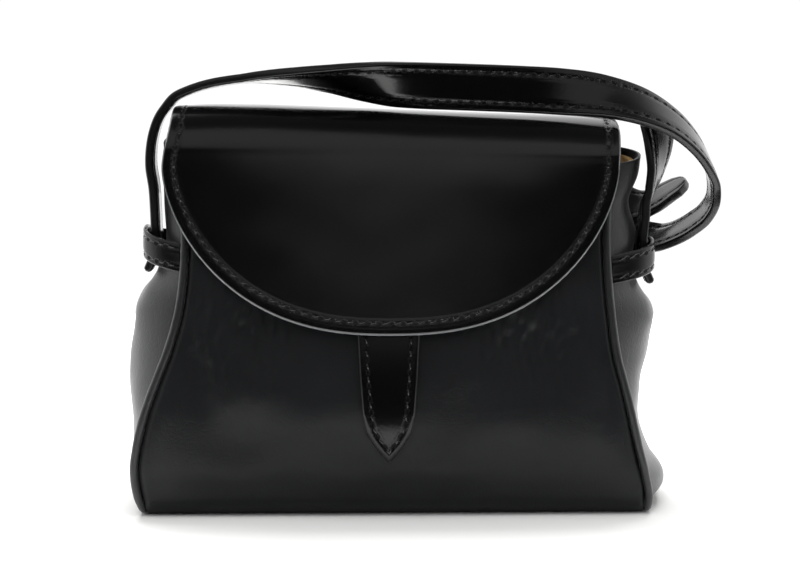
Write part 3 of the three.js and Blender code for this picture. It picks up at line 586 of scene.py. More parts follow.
def glazed_leather(name, stitch_inset, stitch_pitch, edge_paint_and_highlight, wrinkled, ior):
    """Black bridle leather, glazed under a glass roller: a deep gloss with faint hair pores, a worked rim
    that wrinkles toward its stitches, an awl hole at each stitch darkened with painted shade, and a painted
    edge whose given colour, where it is light (the flap), is partly a painted highlight along the rounded
    edge."""
    material, tree = new_material(name)
    run = add_node(tree, "ShaderNodeUVMap", {"uv_map": "edge_run"})
    run = add_node(tree, "ShaderNodeSeparateXYZ", links={0: run.outputs[0]})
    along, inward = run.outputs["X"], run.outputs["Y"]
    place = add_node(tree, "ShaderNodeTexCoord").outputs["Object"]
    step = add_node(tree, "ShaderNodeMath", {"operation": "DIVIDE", 1: stitch_pitch / 1000}, {0: along})
    step = add_node(tree, "ShaderNodeMath", {"operation": "FRACT"}, {0: step.outputs[0]})
    step = add_node(tree, "ShaderNodeMath", {"operation": "SUBTRACT", 1: 0.5}, {0: step.outputs[0]})
    step = add_node(tree, "ShaderNodeMath", {"operation": "MULTIPLY", 1: stitch_pitch}, {0: step.outputs[0]})
    off = add_node(tree, "ShaderNodeMath", {"operation": "SUBTRACT", 1: stitch_inset / 1000}, {0: inward})
    off = add_node(tree, "ShaderNodeMath", {"operation": "MULTIPLY", 1: 1000.0}, {0: off.outputs[0]})
    stretch = add_node(tree, "ShaderNodeMath", {"operation": "MULTIPLY", 1: 0.72}, {0: step.outputs[0]})
    spot = add_node(tree, "ShaderNodeCombineXYZ", links={0: stretch.outputs[0], 1: off.outputs[0]})
    spot = add_node(tree, "ShaderNodeVectorMath", {"operation": "LENGTH"}, {0: spot.outputs[0]})
    hole = add_node(tree, "ShaderNodeMapRange", {
        "interpolation_type": "SMOOTHSTEP", "From Min": 0.5, "From Max": 1.15, "To Min": 1.0, "To Max": 0.0},
        {"Value": spot.outputs["Value"]})
    beside = add_node(tree, "ShaderNodeMath", {"operation": "ABSOLUTE"}, {0: off.outputs[0]})
    rim_band = add_node(tree, "ShaderNodeMapRange", {
        "interpolation_type": "SMOOTHSTEP", "From Min": 0.6, "From Max": 2.6, "To Min": 1.0, "To Max": 0.0},
        {"Value": beside.outputs[0]})
    stretched = add_node(tree, "ShaderNodeCombineXYZ", links={0: along, 1: inward})
    stretched = add_node(tree, "ShaderNodeMapping", {"Scale": (1.0, 0.6, 1.0)},
                         {"Vector": stretched.outputs[0]})
    wrinkle = add_node(tree, "ShaderNodeTexNoise", {"Scale": 1000 / 1.3, "Detail": 2.0, "Roughness": 0.7},
                       {"Vector": stretched.outputs[0]})
    wrinkle = add_node(tree, "ShaderNodeMath", {"operation": "MULTIPLY"},
                       {0: wrinkle.outputs[0], 1: rim_band.outputs[0]})
    wrinkle = add_node(tree, "ShaderNodeMath", {"operation": "MULTIPLY", 1: wrinkled},
                       {0: wrinkle.outputs[0]})
    height = leather_grain(tree, 1.1, 0.012, 9.0, 0.012)
    height = add_node(tree, "ShaderNodeMath", {"operation": "ADD"}, {0: height, 1: wrinkle.outputs[0]})
    sunk = add_node(tree, "ShaderNodeMath", {"operation": "MULTIPLY", 1: -1.3}, {0: hole.outputs[0]})
    height = add_node(tree, "ShaderNodeMath", {"operation": "ADD"},
                      {0: height.outputs[0], 1: sunk.outputs[0]})
    bump = add_node(tree, "ShaderNodeBump", {"Strength": 0.8, "Distance": 0.001},
                    {"Height": height.outputs[0]})
    cloudy = add_node(tree, "ShaderNodeTexNoise", {"Scale": 1000 / 22, "Detail": 4.0}, {"Vector": place})
    gloss = add_node(tree, "ShaderNodeMapRange", {"To Min": 0.13, "To Max": 0.24},
                     {"Value": cloudy.outputs[0]})
    # Edge band: its colour is the given edge colour; on the flap that light grey is partly real edge paint
    # and partly a painted highlight along the rounded edge.
    edge_paint_and_highlight_band = add_node(tree, "ShaderNodeMapRange", {
        "interpolation_type": "SMOOTHSTEP", "From Min": 0.0003, "From Max": 0.0009,
        "To Min": 1.0, "To Max": 0.0},
        {"Value": inward})
    gloss = add_node(tree, "ShaderNodeMix", {"data_type": "FLOAT", 3: 0.3},
                     {0: edge_paint_and_highlight_band.outputs[0], 2: gloss.outputs[0]})
    gloss = add_node(tree, "ShaderNodeMix", {"data_type": "FLOAT", 3: 0.95},
                     {0: hole.outputs[0], 2: gloss.outputs[0]})
    # Base colour: black dye blended toward the edge colour at the cut edge; on the flap this is partly a
    # painted highlight, not only edge paint.
    dye = add_node(tree, "ShaderNodeMix", {
        "data_type": "RGBA", 6: linear("#070708"), 7: linear(edge_paint_and_highlight)}, {0: edge_paint_and_highlight_band.outputs[0]})
    # Painted shade: the base colour goes near black in each awl hole, standing in for the shade that falls
    # inside the hole.
    dark = add_node(tree, "ShaderNodeMix", {"data_type": "RGBA", 7: linear("#020202")},
                    {0: hole.outputs[0], 6: dye.outputs[2]})
    shader = add_node(tree, "ShaderNodeBsdfPrincipled",
                      {"IOR": ior, "Coat Weight": 0.1, "Coat Roughness": 0.08}, {
        "Base Color": dark.outputs[2], "Roughness": gloss.outputs[0], "Normal": bump.outputs[0]})
    add_node(tree, "ShaderNodeOutputMaterial", links={"Surface": shader.outputs[0]})
    return material


def edge_distance(points, rim_points):
    """Each point's distance to a rim, and how far along the rim its nearest place is."""
    steps = np.linalg.norm(np.diff(rim_points, axis=0), axis=1)
    length = np.concatenate([[0], np.cumsum(steps)])
    even = np.linspace(0, length[-1], int(length[-1] / 0.5))
    rim_even = np.stack([np.interp(even, length, rim_points[:, k]) for k in range(3)], -1)
    flat = points.reshape(-1, 3)
    near, distance = np.zeros(len(flat), int), np.zeros(len(flat))
    for start in range(0, len(flat), 4000):
        part = flat[start:start + 4000]
        gap = np.sqrt(np.maximum(((part**2).sum(1)[:, None] + (rim_even**2).sum(1)[None, :]
                                  - 2 * part @ rim_even.T), 0))
        near[start:start + 4000] = gap.argmin(1)
        distance[start:start + 4000] = gap.min(1)
    return distance.reshape(points.shape[:-1]), even[near].reshape(points.shape[:-1])


def stitch_run(line, pitch):
    """The way along a seam, scaled so that whole stitches of the pitch fill it."""
    length = np.concatenate([[0], np.cumsum(np.linalg.norm(np.diff(line, axis=0), axis=1))])
    return length * (pitch * int(length[-1] / pitch) / length[-1])


def worked_edge(distance, thickness, inset):
    """Height of a sewn edge: rounded off at the cut, raised between the cut and the sunk stitches."""
    round_off = thickness / 2
    gap = np.clip(round_off - distance, 0, round_off)
    height = -(round_off - np.sqrt(round_off**2 - gap**2))
    height += 0.22 * np.exp(-((distance - inset * 0.5) / (inset * 0.28))**2)
    height -= 0.32 * np.exp(-((distance - inset) / 0.8)**2)
    return height


def flap_grid(columns, fold_steps, drop_steps):
    """The flap's inner face and its outward normals, columns from the left to the right edge."""
    angle = np.linspace(-np.pi / 2, np.pi / 2, columns + 1)
    fold_share = (len(fold_rows) - 1) / (len(fold_rows) + 1)
    ease = 1 - (1 - np.linspace(0, 1, drop_steps + 1)[1:])**1.6
    t = np.concatenate([np.linspace(0, fold_share, fold_steps + 1), mix(fold_share, 1, ease)])
    grid, normals = [], []
    lowest = flap_side_level - flap_drop
    panel_front = (seam_out(np.array(lowest), front_height) + piping_radius
                   + belly_out(-1, np.array(float(tab_centre)), np.array(lowest), front_height))
    for across in np.sin(angle):
        edge_level = flap_side_level - flap_drop * max(0, 1 - abs(across)**flap_roundness)**flap_edge_ease
        points = [(0, back * seam_half_depth, up * flap_top) for back, up in fold_rows]
        end = points[-1]
        part = (end[2] - edge_level) / (end[2] - lowest)
        edge_y = mix(end[1], -(panel_front + tab_thickness + clearance + flap_over_tab), part)
        points += [(0, (end[1] + edge_y) / 2, (end[2] + edge_level) / 2), (0, edge_y, edge_level)]
        line = curve_points(points, t)
        run = unit(curve_points(points, t + 1e-4) - curve_points(points, t - 1e-4))
        normal = np.stack([0 * t, run[:, 2], -run[:, 1]], -1)
        drop = np.maximum(0, (flap_side_level + 10 - line[:, 2]) / flap_drop) * (line[:, 1] < 0)
        topness = smooth((line[:, 2] - flap_side_level) / (flap_top - flap_side_level))
        narrowing = flap_narrowing_left if across < 0 else flap_narrowing_right
        line[:, 0] = flap_centre + across * (flap_half_width - narrowing * topness)
        line[:, 1] += flap_side_curl * across**2 * drop
        line[:, 2] -= flap_end_droop * across**8 * topness
        grid.append(line)
        normals.append(normal)
    return np.array(grid), np.array(normals)


# The flap's light grey edge colour is partly edge paint and partly a painted highlight: the bright line along
# its rounded edge is painted into the colour.
flap_leather = glazed_leather("glazed_black_flap_leather", flap_stitch_inset, flap_stitch_pitch, "#6f7073",
                              0.8, 1.5)
inner, lean = flap_grid(280, 80, 110)
reach = flap_top - flap_sag_level
inner_face = sag(inner, flap_sag_level, reach)
middle = sag(inner + lean * flap_thickness / 2, flap_sag_level, reach)
flap_rim = np.concatenate([middle[0], middle[1:-1, -1], middle[-1][::-1]])
distance, along = edge_distance(middle, flap_rim)
normal = unit(sag(inner + lean, flap_sag_level, reach) - inner_face)
flat_x, flat_z = inner[..., 0], inner[..., 2]
soft = 0.05 * waves(flat_x, flat_z, 80, 25, 12, 31)
outer_lift = (flap_thickness / 2 + worked_edge(distance, flap_thickness, flap_stitch_inset)
              + soft * smooth(distance / 12))
inner_lift = flap_thickness / 2 + np.minimum(worked_edge(distance, flap_thickness, flap_stitch_inset), 0)
flap_face = middle + normal * outer_lift[..., None]
flap_back = middle - normal * inner_lift[..., None]
# Its stitches: waxed black linen thread, saddle-stitched by hand through awl holes, so that each
# stitch leans a little and dives into the leather at both ends.
thread, tree = new_material("waxed_black_linen_thread")
place = add_node(tree, "ShaderNodeTexCoord").outputs["Object"]
plies = add_node(tree, "ShaderNodeTexNoise", {"Scale": 1000 / 0.5, "Detail": 2.0}, {"Vector": place})
plies = add_node(tree, "ShaderNodeMath", {"operation": "MULTIPLY", 1: 0.1}, {0: plies.outputs[0]})
bump = add_node(tree, "ShaderNodeBump", {"Distance": 0.001}, {"Height": plies.outputs[0]})
shader = add_node(tree, "ShaderNodeBsdfPrincipled", {
    "Base Color": linear("#0a0a0b"), "Roughness": 0.26, "IOR": 1.55}, {"Normal": bump.outputs[0]})
add_node(tree, "ShaderNodeOutputMaterial", links={"Surface": shader.outputs[0]})

stitching = bpy.data.node_groups.new("saddle_stitches", "GeometryNodeTree")
sockets = {}
for label, kind, value in (("Seam", "Geometry", None), ("Pitch", "Float", 0.0056), ("Length", "Float", 0.004),
                           ("Thread", "Float", 0.0009), ("Rise", "Float", 0.0004), ("Lean", "Float", 0.2),
                           ("Seed", "Int", 5), ("Material", "Material", None)):
    socket = stitching.interface.new_socket(label, in_out="INPUT", socket_type="NodeSocket" + kind)
    if value is not None:
        socket.default_value = value
    sockets[label] = socket.identifier
stitching.interface.new_socket("Stitches", in_out="OUTPUT", socket_type="NodeSocketGeometry")
given = add_node(stitching, "NodeGroupInput").outputs
line = add_node(stitching, "GeometryNodeMeshToCurve", links={0: given["Seam"]})
line = add_node(stitching, "GeometryNodeResampleCurve", {"mode": "LENGTH"},
                {"Curve": line.outputs[0], "Length": given["Pitch"]})
half = add_node(stitching, "ShaderNodeMath", {"operation": "MULTIPLY", 1: 0.5}, {0: given["Length"]})
minus = add_node(stitching, "ShaderNodeMath", {"operation": "MULTIPLY", 1: -0.5}, {0: given["Length"]})
sunk = add_node(stitching, "ShaderNodeMath", {"operation": "MULTIPLY", 1: -0.9}, {0: given["Thread"]})
top = add_node(stitching, "ShaderNodeMath", {"operation": "MULTIPLY", 1: 2.0}, {0: given["Rise"]})
start = add_node(stitching, "ShaderNodeCombineXYZ", links={0: minus.outputs[0], 2: sunk.outputs[0]})
crown = add_node(stitching, "ShaderNodeCombineXYZ", links={2: top.outputs[0]})
stop = add_node(stitching, "ShaderNodeCombineXYZ", links={0: half.outputs[0], 2: sunk.outputs[0]})
arch = add_node(stitching, "GeometryNodeCurveQuadraticBezier", {"Resolution": 6}, {
    "Start": start.outputs[0], "Middle": crown.outputs[0], "End": stop.outputs[0]})
girth = add_node(stitching, "ShaderNodeMath", {"operation": "MULTIPLY", 1: 0.5}, {0: given["Thread"]})
ring = add_node(stitching, "GeometryNodeCurvePrimitiveCircle", {"Resolution": 7},
                {"Radius": girth.outputs[0]})
stitch = add_node(stitching, "GeometryNodeCurveToMesh", {"Fill Caps": True}, {
    "Curve": arch.outputs[0], "Profile Curve": ring.outputs["Curve"]})
stitch = add_node(stitching, "GeometryNodeSetShadeSmooth", links={0: stitch.outputs[0]})
tangent = add_node(stitching, "GeometryNodeInputTangent")
outward = add_node(stitching, "GeometryNodeInputNamedAttribute",
                   {"data_type": "FLOAT_VECTOR", "Name": "outward"})
turned = add_node(stitching, "FunctionNodeAlignRotationToVector", {"axis": "X"},
                  {"Vector": tangent.outputs[0]})
turned = add_node(stitching, "FunctionNodeAlignRotationToVector", {"axis": "Z", "pivot_axis": "X"}, {
    "Rotation": turned.outputs[0], "Vector": outward.outputs[0]})
low = add_node(stitching, "ShaderNodeMath", {"operation": "MULTIPLY", 1: 0.7}, {0: given["Lean"]})
high = add_node(stitching, "ShaderNodeMath", {"operation": "MULTIPLY", 1: 1.3}, {0: given["Lean"]})
chance = add_node(stitching, "FunctionNodeRandomValue", links={
    "Min": low.outputs[0], "Max": high.outputs[0], "Seed": given["Seed"]})
chance.data_type = "FLOAT"
slant = add_node(stitching, "FunctionNodeAxisAngleToRotation", {"Axis": (0, 0, 1)},
                 {"Angle": chance.outputs[1]})
turned = add_node(stitching, "FunctionNodeRotateRotation", {"rotation_space": "LOCAL"}, {
    0: turned.outputs[0], 1: slant.outputs[0]})
row = add_node(stitching, "GeometryNodeInstanceOnPoints", links={
    "Points": line.outputs[0], "Instance": stitch.outputs[0], "Rotation": turned.outputs[0]})
row = add_node(stitching, "GeometryNodeRealizeInstances", links={0: row.outputs[0]})
row = add_node(stitching, "GeometryNodeSetMaterial",
               links={"Geometry": row.outputs[0], "Material": given["Material"]})
add_node(stitching, "NodeGroupOutput", links={0: row.outputs[0]})


def sew(name, seams, pitch, length=3.8, thickness=1.0, rise=0.32, lean=0.24, seed=5):
    """Saddle stitches along seams, each a list of places and the leather's outward directions."""
    mesh = bpy.data.meshes.new(name)
    places, edges, ways = [], [], []
    for where, normals in seams:
        start = len(places)
        places += (np.asarray(where) / 1000).tolist()
        ways.append(np.asarray(normals, float))
        edges += [(start + i, start + i + 1) for i in range(len(where) - 1)]
    mesh.from_pydata(places, edges, [])
    attribute = mesh.attributes.new("outward", "FLOAT_VECTOR", "POINT")
    attribute.data.foreach_set("vector", np.concatenate(ways).astype(np.float32).ravel())
    seam = bpy.data.objects.new(name + "_seam", mesh)
    scene.collection.objects.link(seam)
    modifier = seam.modifiers.new("stitches", "NODES")
    modifier.node_group = stitching
    for label, value in (("Pitch", pitch / 1000), ("Length", length / 1000), ("Thread", thickness / 1000),
                         ("Rise", rise / 1000), ("Lean", lean), ("Seed", seed), ("Material", thread)):
        modifier[sockets[label]] = value
    bpy.context.view_layer.update()
    made = bpy.data.meshes.new_from_object(seam.evaluated_get(bpy.context.evaluated_depsgraph_get()))
    made.name = name
    bpy.data.objects.remove(seam)
    piece = bpy.data.objects.new(name, made)
    scene.collection.objects.link(piece)
    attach(piece, "root")
    return piece


def seam_at(points, normals, distance, along, inset, keep=None, half_band=0.9):
    """The line on a sewn piece that stays one distance inside its rim: its places, outward
    directions and the rim's own run at each place."""
    chosen = np.abs(distance - inset) < half_band
    if keep is not None:
        chosen &= keep
    bins = (along[chosen] / 2.0).astype(int)
    where, ways, runs = [], [], []
    for b in np.unique(bins):
        inside = bins == b
        where.append(points[chosen][inside].mean(0))
        ways.append(normals[chosen][inside].mean(0))
        runs.append(along[chosen][inside].mean())
    where, ways, runs = np.array(where), np.array(ways), np.array(runs)
    for _ in range(3):
        where[1:-1] = (where[:-2] + 2 * where[1:-1] + where[2:]) / 4
    return where, unit(ways), runs


flap_length = np.linalg.norm(np.diff(flap_rim, axis=0), axis=1).sum()
inside_run = (along > 9) & (along < flap_length - 9)
line, ways, runs = seam_at(flap_face, normal, distance, along, flap_stitch_inset, inside_run)
sew("flap_stitches", [(line, ways)], flap_stitch_pitch)
along = np.interp(along, runs, stitch_run(line, flap_stitch_pitch))
flap = shell("flap_leather", flap_face, flap_back, flap_leather, np.stack([along, distance], -1))
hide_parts("flap")
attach(flap, "root")


# The closure tab
# A pointed tongue of two layers of the same glazed leather, fixed under the flap and sewn to
# itself round its edge. It hangs in front of the panel.
tab_half_width, tab_top, tab_tip = 15.2, 112, 29
tab_stitch_inset, tab_stitch_pitch = 4.0, 5.8
tab_rows = {"up": [0.00, 0.25, 0.50, 0.72, 0.83, 0.91, 0.97, 1.00],
            "half": [1.00, 0.97, 0.90, 0.81, 0.70, 0.46, 0.20, 0.06]}
tab_leather = glazed_leather("glazed_black_tab_leather", tab_stitch_inset, tab_stitch_pitch, "#141415",
                             0.25, 1.3)
down = 1 - (1 - np.linspace(0, 1, 121)[:, None])**1.3
spread = np.sin(np.linspace(-np.pi / 2, np.pi / 2, 61))[None, :]
z = mix(tab_top, tab_tip, down)
x = tab_centre + tab_half_width * np.interp(down, tab_rows["up"], tab_rows["half"]) * spread
x, z = np.broadcast_arrays(x, z)
panel_front = seam_out(z, front_height) + piping_radius + belly_out(-1, x, z, front_height)
tab_middle = sag(np.stack([x, -(panel_front + clearance + tab_thickness / 2), z], -1))
tab_rim = np.concatenate([tab_middle[:, 0], tab_middle[-1, 1:-1], tab_middle[::-1, -1]])
distance, along = edge_distance(tab_middle, tab_rim)
normal = grid_normals(tab_middle)
normal = normal * np.where(normal[..., 1:2] > 0, -1, 1)
lift = tab_thickness / 2 + worked_edge(distance, tab_thickness, tab_stitch_inset)
tab_face = tab_middle + normal * lift[..., None]
tab_back = tab_middle - normal * np.minimum(lift, tab_thickness / 2)[..., None]
tab_length = np.linalg.norm(np.diff(tab_rim, axis=0), axis=1).sum()
rows, run = [], along.copy()
for first in (True, False):
    part = along < tab_length / 2 - 1 if first else along > tab_length / 2 + 1
    line, ways, runs = seam_at(tab_face, normal, distance, along, tab_stitch_inset, part)
    rows.append((line, ways))
    half_run = np.interp(along, runs, stitch_run(line, tab_stitch_pitch))
    run = np.where((along < tab_length / 2) == first, half_run, run)
sew("tab_stitches", rows, tab_stitch_pitch, length=4.0)
tab = shell("closure_tab_leather", tab_face, tab_back, tab_leather, np.stack([run, distance], -1))
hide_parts("closure_tab")
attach(tab, "root")


# The side bands
# A strip of the body's calf across each gusset, folded at both edges and sewn in two rows. It
# holds the strap's end.
band_height, band_thickness, band_level, band_rise, band_fullness = 13.5, 2, 122.5, 6.5, 4.3
band_bulges = {-1: 19, 1: 22.8}
band_stitch_inset, band_stitch_pitch = 2.6, 5.4


def band_across(side, t):
    out = band_bulges[side] * across_gusset(t, band_fullness)
    return seam_across(side, np.array(float(band_level)), front_height) + out + 2 * clearance


band_leather = glazed_leather("black_band_calf", band_stitch_inset, band_stitch_pitch, "#1c1c1d", 0.35, 1.45)
for side, word in ((-1, "left"), (1, "right")):
    t = mix(0.002, 0.998, np.linspace(0, 1, 161))[:, None]
    edge_round = band_thickness / 2
    v = np.linspace(-1, 1, 41)[None, :]
    v = np.sign(v) * (1 - (1 - np.abs(v))**1.4)
    level = band_level + band_rise * across_gusset(t, 2)
    z = level + v * band_height / 2
    up = z / mix(front_height, back_height, t)
    z_front, z_back = up * front_height, up * back_height
    y = mix(-(seam_out(z_front, front_height) - piping_radius - clearance),
            seam_out(z_back, back_height) - piping_radius - clearance, t)
    inset = (1 - np.abs(v)) * band_height / 2
    gap = np.clip(edge_round - inset, 0, edge_round)
    round_off = edge_round - np.sqrt(edge_round**2 - gap**2)
    sewn = 0.28 * np.exp(-((inset - band_stitch_inset) / 0.8)**2)
    pad = 0.25 * smooth((inset - band_stitch_inset) / 3)
    base = band_across(side, t) + 0 * z
    outer = sag(np.stack([side * (base + band_thickness - round_off - sewn + pad), y, z], -1))
    inner = sag(np.stack([side * (base + round_off), y, z], -1))
    ways = grid_normals(outer)
    ways = ways * np.where((ways[..., 0:1] * side) < 0, -1, 1)
    rows, run = [], np.zeros(z.shape)
    for sign in (-1, 1):
        column = (np.abs(inset[0] - band_stitch_inset) + (np.sign(v[0]) != sign) * 50).argmin()
        line = outer[4:-4, column]
        rows.append((line, ways[4:-4, column]))
        half_run = np.interp(np.arange(len(z)), np.arange(4, len(z) - 4), stitch_run(line, band_stitch_pitch))
        run = np.where(np.sign(v) == sign, half_run[:, None], run)
    sew(f"side_band_{word}_stitches", rows, band_stitch_pitch)
    uv = np.stack(np.broadcast_arrays(run, inset), -1)
    band = shell(f"side_band_{word}_leather", outer, inner, band_leather, uv)
    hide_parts(f"side_band_{word}")
    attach(band, "root")


# The straps
# Two straps of doubled bridle leather, sewn along both edges over a thin cord that raises the
# middle. The long one makes a half turn over the flap; both meet in a buckle behind the bag.
strap_width, strap_thickness, strap_edge_share = 22.5, 4.6, 0.88
strap_end_length, strap_end_flare, strap_band_gap, strap_middle_back = 8.0, 4.0, 1.8, -1.3
strap_stitch_inset, strap_stitch_pitch, strap_stitch_start = 4.0, 5.6, 4.5
buckle_length, long_strap_buckle_row = 12, 41
long_strap_rows = [
    (-0.952, -0.03, 0.725, (0.00, -1.00, 0.00)), (-0.957, -0.03, 0.799, (0.00, -1.00, 0.00)),
    (-0.969, -0.03, 0.861, (0.00, -1.00, 0.00)), (-0.960, -0.03, 0.924, (0.00, -1.00, 0.00)),
    (-0.934, -0.03, 0.974, (0.00, -1.00, 0.02)), (-0.903, -0.03, 1.003, (0.00, -1.00, 0.04)),
    (-0.867, -0.03, 1.028, (0.00, -1.00, 0.05)), (-0.806, -0.04, 1.046, (0.00, -1.00, 0.06)),
    (-0.725, -0.04, 1.061, (0.00, -1.00, 0.07)), (-0.600, -0.05, 1.073, (0.00, -1.00, 0.08)),
    (-0.500, -0.08, 1.077, (0.00, -0.98, 0.18)), (-0.383, -0.12, 1.077, (0.00, -0.95, 0.33)),
    (-0.252, -0.16, 1.073, (0.00, -0.84, 0.54)), (-0.113, -0.21, 1.066, (0.00, -0.59, 0.81)),
    (0.000, -0.26, 1.061, (0.00, -0.30, 0.95)), (0.110, -0.28, 1.058, (0.00, -0.14, 0.99)),
    (0.301, -0.30, 1.054, (0.00, -0.05, 1.00)), (0.503, -0.31, 1.049, (0.00, 0.00, 1.00)),
    (0.665, -0.33, 1.043, (0.00, 0.20, 0.98)), (0.827, -0.33, 1.032, (0.05, 0.50, 0.86)),
    (0.985, -0.30, 1.006, (0.22, 0.72, 0.66)), (1.110, -0.23, 0.966, (0.26, 0.88, 0.40)),
    (1.198, -0.14, 0.918, (0.23, 0.95, 0.22)), (1.258, -0.05, 0.866, (0.15, 0.98, 0.08)),
    (1.296, 0.05, 0.810, (0.04, 1.00, 0.02)), (1.297, 0.09, 0.763, (0.00, 0.99, 0.10)),
    (1.268, 0.14, 0.726, (0.00, 0.98, 0.20)), (1.218, 0.21, 0.697, (0.00, 0.97, 0.23)),
    (1.150, 0.37, 0.668, (0.00, 0.98, 0.20)), (1.085, 0.62, 0.650, (0.15, 0.92, 0.30)),
    (1.000, 0.93, 0.640, (0.30, 0.55, 0.80)), (0.880, 1.13, 0.635, (0.10, 0.12, 1.00)),
    (0.690, 1.24, 0.632, (0.00, 0.00, 1.00)), (0.450, 1.26, 0.636, (-0.02, 0.00, 1.00)),
    (0.250, 1.30, 0.652, (-0.05, 0.00, 1.00)), (0.170, 1.44, 0.672, (0.00, 0.00, 1.00)),
    (0.240, 1.58, 0.696, (0.00, 0.00, 1.00)), (0.400, 1.62, 0.726, (-0.20, 0.00, 0.98)),
    (0.560, 1.60, 0.752, (-0.28, 0.00, 0.96)), (0.720, 1.50, 0.765, (-0.18, 0.04, 0.98)),
    (0.880, 1.30, 0.745, (-0.05, 0.30, 0.95)), (1.020, 1.12, 0.725, (-0.05, 0.75, 0.60)),
    (1.093, 1.07, 0.735, (-0.08, 0.94, 0.34)), (1.167, 1.05, 0.763, (-0.10, 0.97, 0.22)),
]
short_strap_rows = [
    (1.014, 0.00, 0.725, (0.05, 1.00, 0.00)), (1.022, 0.00, 0.762, (0.12, 1.00, 0.00)),
    (1.041, 0.00, 0.795, (0.26, 0.97, 0.00)), (1.060, 0.00, 0.843, (0.40, 0.92, 0.00)),
    (1.068, 0.02, 0.892, (0.59, 0.81, 0.00)), (1.067, 0.07, 0.942, (0.72, 0.69, 0.00)),
    (1.055, 0.15, 0.982, (0.77, 0.64, 0.00)), (1.015, 0.30, 1.006, (0.72, 0.70, 0.00)),
    (0.935, 0.53, 1.007, (0.64, 0.77, 0.00)), (0.835, 0.82, 0.980, (0.68, 0.66, -0.22)),
    (0.745, 1.06, 0.922, (0.75, 0.30, -0.52)), (0.680, 1.24, 0.850, (0.66, 0.08, -0.66)),
]
tip_rows = {"up": [0.00, 0.45, 0.80, 1.00], "half": [1.00, 0.88, 0.58, 0.20]}


def strap_end(side):
    """The strap's end under its side band, flared out a little below it."""
    middle_level = band_level + band_rise
    across = band_across(side, np.array(0.5)) - strap_band_gap - strap_thickness / 2
    rows = ((middle_level - band_height / 2 - strap_end_length, strap_end_flare),
            (middle_level - band_height / 3, 0), (middle_level + band_height / 2, 0))
    return [(sag(np.array([side * (across + out), strap_middle_back, level])), (0, side, 0))
            for level, out in rows]


def row_places(rows):
    return [(np.array([across * panel_half_width, back * seam_half_depth, up * flap_top]), edge)
            for across, back, up, edge in rows]


def strap_route(places, t):
    """The strap's middle line, its way along, its width direction and its face's direction."""
    middles, edges = [np.array([p[k] for p in places], float) for k in (0, 1)]
    middle = curve_points(middles, t)
    along = unit(curve_points(middles, np.minimum(t + 1e-4, 1))
                 - curve_points(middles, np.maximum(t - 1e-4, 0)))
    edge = curve_points(edges, t)
    edge = unit(edge - along * (edge * along).sum(1)[:, None])
    return middle, along, edge, np.cross(along, edge)


def strap_section(half_width):
    """Half thickness across a strap: a round cut edge, sunk stitch rows and a raised middle."""
    v = np.linspace(-1, 1, 37)
    v = np.sign(v) * (1 - (1 - np.abs(v))**1.5)
    inset = (1 - np.abs(v)) * half_width
    edge = strap_thickness / 2 * strap_edge_share
    round_off = 1.3
    gap = np.clip(round_off - inset, 0, round_off)
    thick = edge - (round_off - np.sqrt(round_off**2 - gap**2))
    thick -= 0.38 * np.exp(-((inset - strap_stitch_inset) / 0.8)**2)
    thick += (strap_thickness / 2 - edge) * smooth((inset - strap_stitch_inset - 0.6) / 2.4)
    return v * half_width, inset, thick


# The last two numbers of a glazed leather are how deep its rim wrinkles, in mm, and its IOR.
strap_leather = glazed_leather("glazed_black_strap_leather", strap_stitch_inset, strap_stitch_pitch,
                               "#141415", 0.5, 1.45)


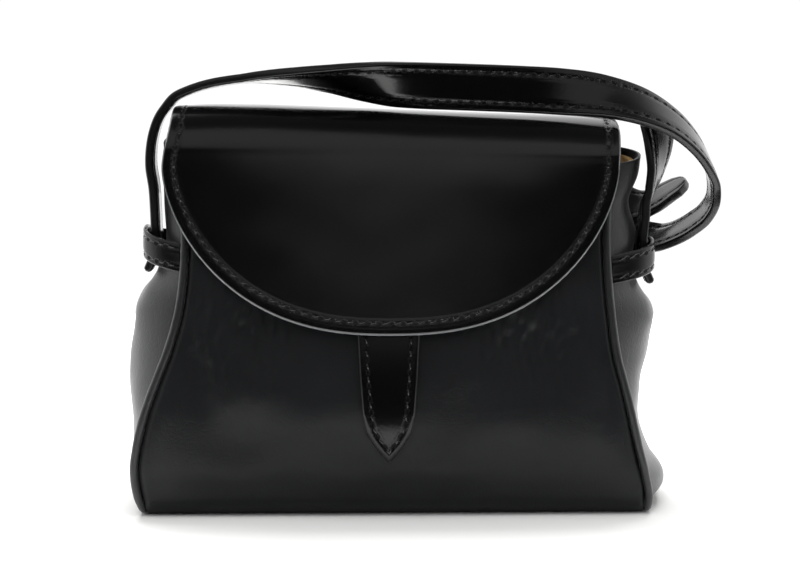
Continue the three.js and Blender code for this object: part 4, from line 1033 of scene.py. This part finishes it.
def make_strap(name, places, steps, tip=False):
    t = np.linspace(0, 1, steps)
    middle, way, edge, face = strap_route(places, t)
    widths = np.ones(steps)
    if tip:
        reach = np.linspace(0, 1, 16)[1:]
        rounding = np.interp(reach, tip_rows["up"], tip_rows["half"])
        middle = np.vstack([middle, middle[-1] + way[-1] * reach[:, None] * strap_width / 2])
        way, edge, face = [np.vstack([a, np.repeat(a[-1:], len(reach), 0)]) for a in (way, edge, face)]
        widths = np.concatenate([widths, rounding])
    v, inset, thick = strap_section(strap_width / 2)
    length = np.concatenate([[0], np.cumsum(np.linalg.norm(np.diff(middle, axis=0), axis=1))])
    end_gap = np.minimum(length, length[-1] - length)
    end_round = np.sqrt(1 - np.clip(1 - end_gap / 1.3, 0, 1)**2 * 0.75)[:, None, None]
    spread = middle[:, None] + edge[:, None] * (v * widths[:, None])[..., None]
    depth = face[:, None] * thick[:, None] * end_round
    top, low = spread + depth, spread - depth
    rings = np.concatenate([top, low[:, ::-1]], 1)
    inset_all = np.concatenate([inset, inset[::-1]])
    rows, start, stop = [], int(np.searchsorted(length, strap_stitch_start)), steps - 4
    runs = np.zeros((len(middle), 2 * len(v)))
    for face_side, grid in ((1, top), (-1, low)):
        for sign in (-1, 1):
            column = (np.abs(inset - strap_stitch_inset) + (np.sign(v) != sign) * 50).argmin()
            line = grid[start:stop, column]
            rows.append((line, face_side * face[start:stop]))
            run = np.interp(np.arange(len(middle)), np.arange(start, stop),
                            stitch_run(line, strap_stitch_pitch))
            half = np.sign(v) == sign
            runs[:, np.concatenate([half & (face_side > 0), (half & (face_side < 0))[::-1]])] = run[:, None]
    uv = np.stack(np.broadcast_arrays(runs, inset_all[None]), -1)
    strap = tube(name + "_leather", rings, strap_leather, uv)
    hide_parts(name)
    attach(strap, "root")
    sew(name + "_stitches", rows, strap_stitch_pitch)


long_places = strap_end(-1) + row_places(long_strap_rows)
make_strap("strap_long", long_places, 760, tip=True)

seat = strap_route(long_places, np.array([long_strap_buckle_row / (len(long_places) - 1)]))
seat_middle, seat_along, seat_edge, seat_face = [part[0] for part in seat]
seat_face = -seat_face if seat_face[1] > 0 else seat_face
short_places = strap_end(1) + row_places(short_strap_rows)
for along_share, apart in ((1.9, 3.6), (0.8, 1.15), (-0.4, 1)):
    place = (seat_middle + seat_along * along_share * buckle_length
             + seat_face * (apart * strap_thickness + clearance))
    short_places.append((place, -seat_edge))
make_strap("strap_short", short_places, 300)


# The buckle
# A plain drawn-brass sleeve that both straps pass through, polished and lacquered.
brass, tree = new_material("polished_lacquered_brass")
place = add_node(tree, "ShaderNodeTexCoord").outputs["Object"]
rub = add_node(tree, "ShaderNodeTexNoise", {"Scale": 1000 / 6, "Detail": 3.0}, {"Vector": place})
rub = add_node(tree, "ShaderNodeMapRange", {"To Min": 0.16, "To Max": 0.3}, {"Value": rub.outputs[0]})
shader = add_node(tree, "ShaderNodeBsdfPrincipled", {"Base Color": linear("#c9a25a"), "Metallic": 1.0},
                  {"Roughness": rub.outputs[0]})
add_node(tree, "ShaderNodeOutputMaterial", links={"Surface": shader.outputs[0]})
buckle_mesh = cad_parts["strap_buckle"].data.copy()
buckle_mesh.name = "strap_buckle_brass"
buckle = bpy.data.objects.new("strap_buckle_brass", buckle_mesh)
scene.collection.objects.link(buckle)
weld = buckle.modifiers.new("weld", "WELD")
weld.merge_threshold = 0.00001
soft_edges = buckle.modifiers.new("soft_edges", "BEVEL")
soft_edges.width, soft_edges.segments, soft_edges.limit_method = 0.0005, 3, "ANGLE"
buckle_mesh = bpy.data.meshes.new_from_object(buckle.evaluated_get(bpy.context.evaluated_depsgraph_get()))
buckle.modifiers.clear()
buckle.data = buckle_mesh
buckle_mesh.materials.clear()
buckle_mesh.materials.append(brass)
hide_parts("strap_buckle")
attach(buckle, "root")
